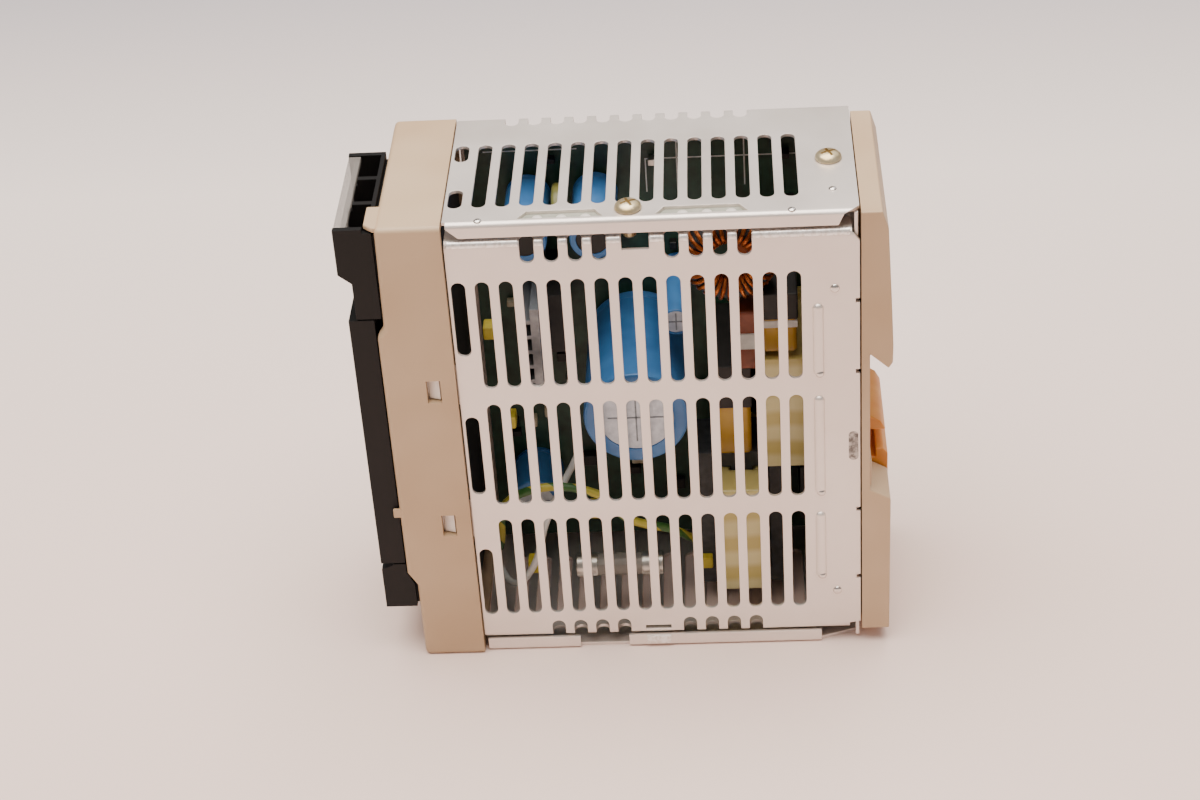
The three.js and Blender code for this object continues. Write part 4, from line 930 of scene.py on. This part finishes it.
def tube(name, points, radius, material, body="case", replaces=(), closed=False, sides=6,
         smooth=8):
    """A round wire along a smooth line through points in millimetres."""
    line = bpy.data.curves.new(name, "CURVE")
    line.dimensions = "3D"
    line.bevel_depth = radius
    line.bevel_resolution = sides // 2 - 1
    line.use_fill_caps = True
    line.resolution_u = smooth
    spline = line.splines.new("BEZIER")
    spline.bezier_points.add(len(points) - 1)
    for knot, point in zip(spline.bezier_points, points):
        knot.co = point
        knot.handle_left_type = knot.handle_right_type = "AUTO"
    spline.use_cyclic_u = closed
    drawn = bpy.data.objects.new(name, line)
    bpy.context.scene.collection.objects.link(drawn)
    bpy.context.view_layer.update()
    mesh = bpy.data.meshes.new_from_object(drawn.evaluated_get(bpy.context.evaluated_depsgraph_get()))
    bpy.data.objects.remove(drawn)
    shape = bmesh.new()
    shape.from_mesh(mesh)
    bmesh.ops.remove_doubles(shape, verts=shape.verts, dist=radius * 0.02)
    bmesh.ops.recalc_face_normals(shape, faces=shape.faces)
    return link_piece(name, as_mesh(shape, name), material, body=body, replaces=replaces)


# Output choke: a dark sintered ring, its edges rounded off so that they don't cut the varnish, wound with
# one layer of enamelled copper wire that leans a little from one turn to the next.
# Sintered ferrite: dark grey and slightly rough, like fired clay.
ferrite = new_finish("dark_sintered_ferrite", "#3B3D40", 0.55,
                     tones=dict(grain=2, detail=4.0, dark="#333538", light="#47494C"),
                     relief=dict(grain=0.6, detail=3.0, strength=0.4, depth=0.05))
# Enamelled copper: deep orange metal under clear varnish.
copper = new_finish("enamelled_copper_wire", "#B4622F", 0.26, 0.75,
                    tones=dict(grain=4, detail=2.0, dark="#9C4E22", light="#C97A3E"),
                    polish=dict(grain=2, detail=2.0, low=0.2, high=0.36))
choke_low, choke_high = extent("output_choke")
choke_x, choke_z = (choke_low.x + choke_high.x) / 2, (choke_low.z + choke_high.z) / 2
CHOKE_HOLE, CHOKE_RIM, CHOKE_WIRE, CHOKE_TURNS = 4.2, 10.2, 0.5, 30
core_rim, core_hole = CHOKE_RIM - 2 * CHOKE_WIRE, CHOKE_HOLE + 2 * CHOKE_WIRE
core_near, core_far = choke_low.y + 2 * CHOKE_WIRE, choke_high.y - 2 * CHOKE_WIRE
link_piece("choke_ring", as_mesh(turned([
    (core_hole, core_near + 0.4), (core_hole + 0.4, core_near), (core_rim - 0.4, core_near),
    (core_rim, core_near + 0.4), (core_rim, core_far - 0.4), (core_rim - 0.4, core_far),
    (core_hole + 0.4, core_far), (core_hole, core_far - 0.4), (core_hole, core_near + 0.4)],
    choke_x, choke_z)),
    ferrite, replaces=("output_choke",))
wire_rim, wire_hole = core_rim + CHOKE_WIRE, core_hole - CHOKE_WIRE
wire_near, wire_far = core_near - CHOKE_WIRE, core_far + CHOKE_WIRE
first_turn, wound, lean = math.radians(25), math.radians(330), math.radians(4)
for i in range(CHOKE_TURNS):
    angle = first_turn + wound * i / CHOKE_TURNS
    loop = []
    for radius, y, shift in ((wire_rim, core_near + 1, 0), (wire_rim, core_far - 1, lean),
                             (core_rim - 1, wire_far, lean), (core_hole + 1, wire_far, lean),
                             (wire_hole, core_far - 1, lean), (wire_hole, core_near + 1, 0),
                             (core_hole + 1, wire_near, 0), (core_rim - 1, wire_near, 0)):
        heading = angle + shift
        loop.append((choke_x + radius * math.cos(heading), y, choke_z + radius * math.sin(heading)))
    tube(f"choke_turn_{i + 1}", loop, CHOKE_WIRE * 0.95, copper, closed=True, smooth=3)

# Transformer and line filter: windings wrapped in pale yellow polyester tape on a window-shaped ferrite
# core, the tape lapped in bands about 8 mm wide.
# Polyester film tape: pale yellow and glossy, darker where one lap shows through the next.
tape = new_finish("pale_yellow_polyester_tape", "#D8C983", 0.3, IOR=1.6,
                  relief=dict(grain=2.5, detail=2.0, strength=0.3, depth=0.08))
tape_place = add_node(tape, "ShaderNodeTexCoord")
TAPE_WIDTH = 8
tape_laps = add_node(tape, "ShaderNodeTexWave", {"Vector": tape_place.outputs["Object"]},
                     Scale=6.28 / TAPE_WIDTH * 50, Distortion=1.5, Detail=1.0)
tape_laps.bands_direction = "Z"
paint(tape, tape_laps.outputs["Fac"], (0.2, "#CDBB70"), (0.8, "#E2D69A"))
softened("transformer_core", "transformer_core_halves", ferrite, width=0.3)
softened("transformer_winding", "transformer_winding_taped", tape, width=0.8, segments=3)
softened("line_filter", "line_filter_bobbin", tape, width=0.25)

# Film capacitors: wound film boxes dipped in mustard resin, which leaves them slightly swollen, with
# soft edges.
# Dipped epoxy: mustard yellow, wet looking, thicker in places.
mustard = new_finish("mustard_dipped_resin", "#B78B26", 0.25, IOR=1.55,
                     tones=dict(grain=7, detail=2.0, dark="#A87C1E", light="#C69A34"),
                     relief=dict(grain=5, detail=1.0, strength=0.4, depth=0.2))
softened("film_capacitor", "film_capacitor_dipped", mustard, width=1.3, segments=4)
softened("x_capacitor", "x_capacitor_dipped", mustard, width=1.0, segments=4)

# Varistor: a ceramic disc dipped in olive resin. It stands edge on between the large parts, so that only
# its rounded rim is seen.
# Dipped epoxy: dull olive, unevenly thick.
olive = new_finish("olive_dipped_resin", "#7C7A3E", 0.35, IOR=1.55,
                   tones=dict(grain=3, detail=2.0, dark="#716F36", light="#8A8849"),
                   relief=dict(grain=2, detail=1.0, strength=0.3, depth=0.1))
softened("varistor", "varistor_dipped", olive, width=0.9, segments=4)

# Fuse: a grey ceramic body with a bright metal cap pressed on each end, lying low along the foot of the
# board.
fuse_low, fuse_high = extent("fuse")
# Fired tube: plain warm grey.
fuse_grey = new_finish("grey_steatite_tube", "#8B867F", 0.45,
                       tones=dict(grain=3, detail=2.0, dark="#827D76", light="#969189"))
softened("fuse", "fuse_body", fuse_grey, width=0.2)
for i, x in enumerate((fuse_low.x + 2.4, fuse_high.x - 2.4)):
    cap = bmesh.new()
    bmesh.ops.create_cone(cap, cap_ends=True, segments=32, radius1=2.78, radius2=2.78, depth=5.0,
                          matrix=Matrix.Rotation(math.pi / 2, 4, "Y"))
    bmesh.ops.translate(cap, vec=(x, (fuse_low.y + fuse_high.y) / 2, (fuse_low.z + fuse_high.z) / 2),
                        verts=cap.verts)
    link_piece(f"fuse_cap_{i + 1}", as_mesh(round_edges(cap, 0.3, 2)), tinned)

# Heat sinks: mill-finish aluminium extrusions, with fins that stand across the air path. The hot parts
# are fixed against them.
# Extruded aluminium: grey, with long faint die lines.
extruded = new_finish("mill_finish_aluminium", "#8C8F93", 0.45, 0.85,
                      tones=dict(grain=2.5, detail=3.0, stretch=(1, 0.15, 1),
                                 dark="#7E8185", light="#9DA0A4"),
                      relief=dict(grain=0.7, detail=2.0, stretch=(1, 0.1, 1), strength=0.3, depth=0.03))
softened("output_heat_sink", "output_heat_sink_extrusion", extruded, width=0.12)
softened("input_heat_sink", "input_heat_sink_extrusion", extruded, width=0.12)

# Insulated wires: the earth lead striped green and yellow, the signal lead plain white and thinner. Both
# run slack between the boards, so they bow out towards the slots.
# Extruded PVC in two colours: olive green and dull yellow in turn, with a crisp edge between them.
stripe = new_finish("green_yellow_pvc", "#7F9E2E", 0.35, IOR=1.53)
STRIPE_SCALE = 58.0  # a stripe about every 11 mm along the diagonal
stripe_place = add_node(stripe, "ShaderNodeTexCoord")
stripe_wave = add_node(stripe, "ShaderNodeTexWave", {"Vector": stripe_place.outputs["Object"]},
                       Scale=STRIPE_SCALE)
stripe_wave.bands_direction = "DIAGONAL"
paint(stripe, stripe_wave.outputs["Fac"], (0.46, "#3E6B34"), (0.54, "#C4B948"))
# Extruded PVC: off-white, satin.
white_pvc = new_finish("white_pvc", "#DAD8D2", 0.38, IOR=1.53,
                       tones=dict(grain=5, detail=2.0, dark="#D2D0CA", light="#E2E0DB"))
EARTH_ROUTE = ((3, 20, 100), (10, 11, 78), (28, 10, 78), (34, 9, 84), (44, 12, 90), (49, 20, 99))
SIGNAL_ROUTE = ((2, 20, 104), (7, 10, 103), (12, 7, 96), (16, 9, 84), (24, 16, 70))
for name, route, radius, pvc, slot in (("earth_wire", EARTH_ROUTE, 1.0, stripe, "earth_insulation"),
                                       ("signal_wire", SIGNAL_ROUTE, 0.8, white_pvc, "white_plastic")):
    tube(f"{name}_lead", [(CASE_FRONT + x, NEAR + y, HEIGHT - z) for x, y, z in route], radius, pvc,
         replaces=(name,), sides=12, smooth=10)


# Case screws: pan heads with a cross recess, yellow passivated zinc, one holding the side cover's flange
# and one by the rear plate.
CROSS_ARM, CROSS_HALF = 1.7, 0.32
SCREW_TURN = Matrix.Rotation(math.radians(25), 3, "Z")
for name, (x, y) in (("side_screw", SIDE_SCREW), ("rear_screw", REAR_SCREW)):
    screw_low, screw_high = extent(name)
    r = (screw_high.x - screw_low.x) / 2
    crown = screw_high.z
    seat = HEIGHT + 0.05
    lathe = turned([(0, crown), (r * 0.45, crown - 0.08), (r * 0.75, crown - 0.4), (r * 0.95, crown - 0.95),
                    (r, seat + 0.25), (r - 0.15, seat), (1.45, seat), (1.45, screw_low.z + 0.5),
                    (0.9, screw_low.z), (0, screw_low.z)], 0, 0)
    bmesh.ops.rotate(lathe, cent=(0, 0, 0), matrix=Matrix.Rotation(math.pi / 2, 3, "X"), verts=lathe.verts)
    bmesh.ops.translate(lathe, vec=(x, y, 0), verts=lathe.verts)
    cross = [brick((x - half_x, y - half_y, crown - 0.9), (x + half_x, y + half_y, crown + 1))
             for half_x, half_y in ((CROSS_ARM, CROSS_HALF), (CROSS_HALF, CROSS_ARM))]
    for arm in cross:
        bmesh.ops.rotate(arm, cent=(x, y, 0), matrix=SCREW_TURN, verts=arm.verts)
    link_piece(f"{name}_turned", carved(lathe, cross), zinc, replaces=(name,))

# Rear plate: the same plated sheet, cut to the case's inside and closing it behind the boards, in front
# of the rail base.
softened("rear_plate", "rear_plate_sheet", case_metal, width=0.12)
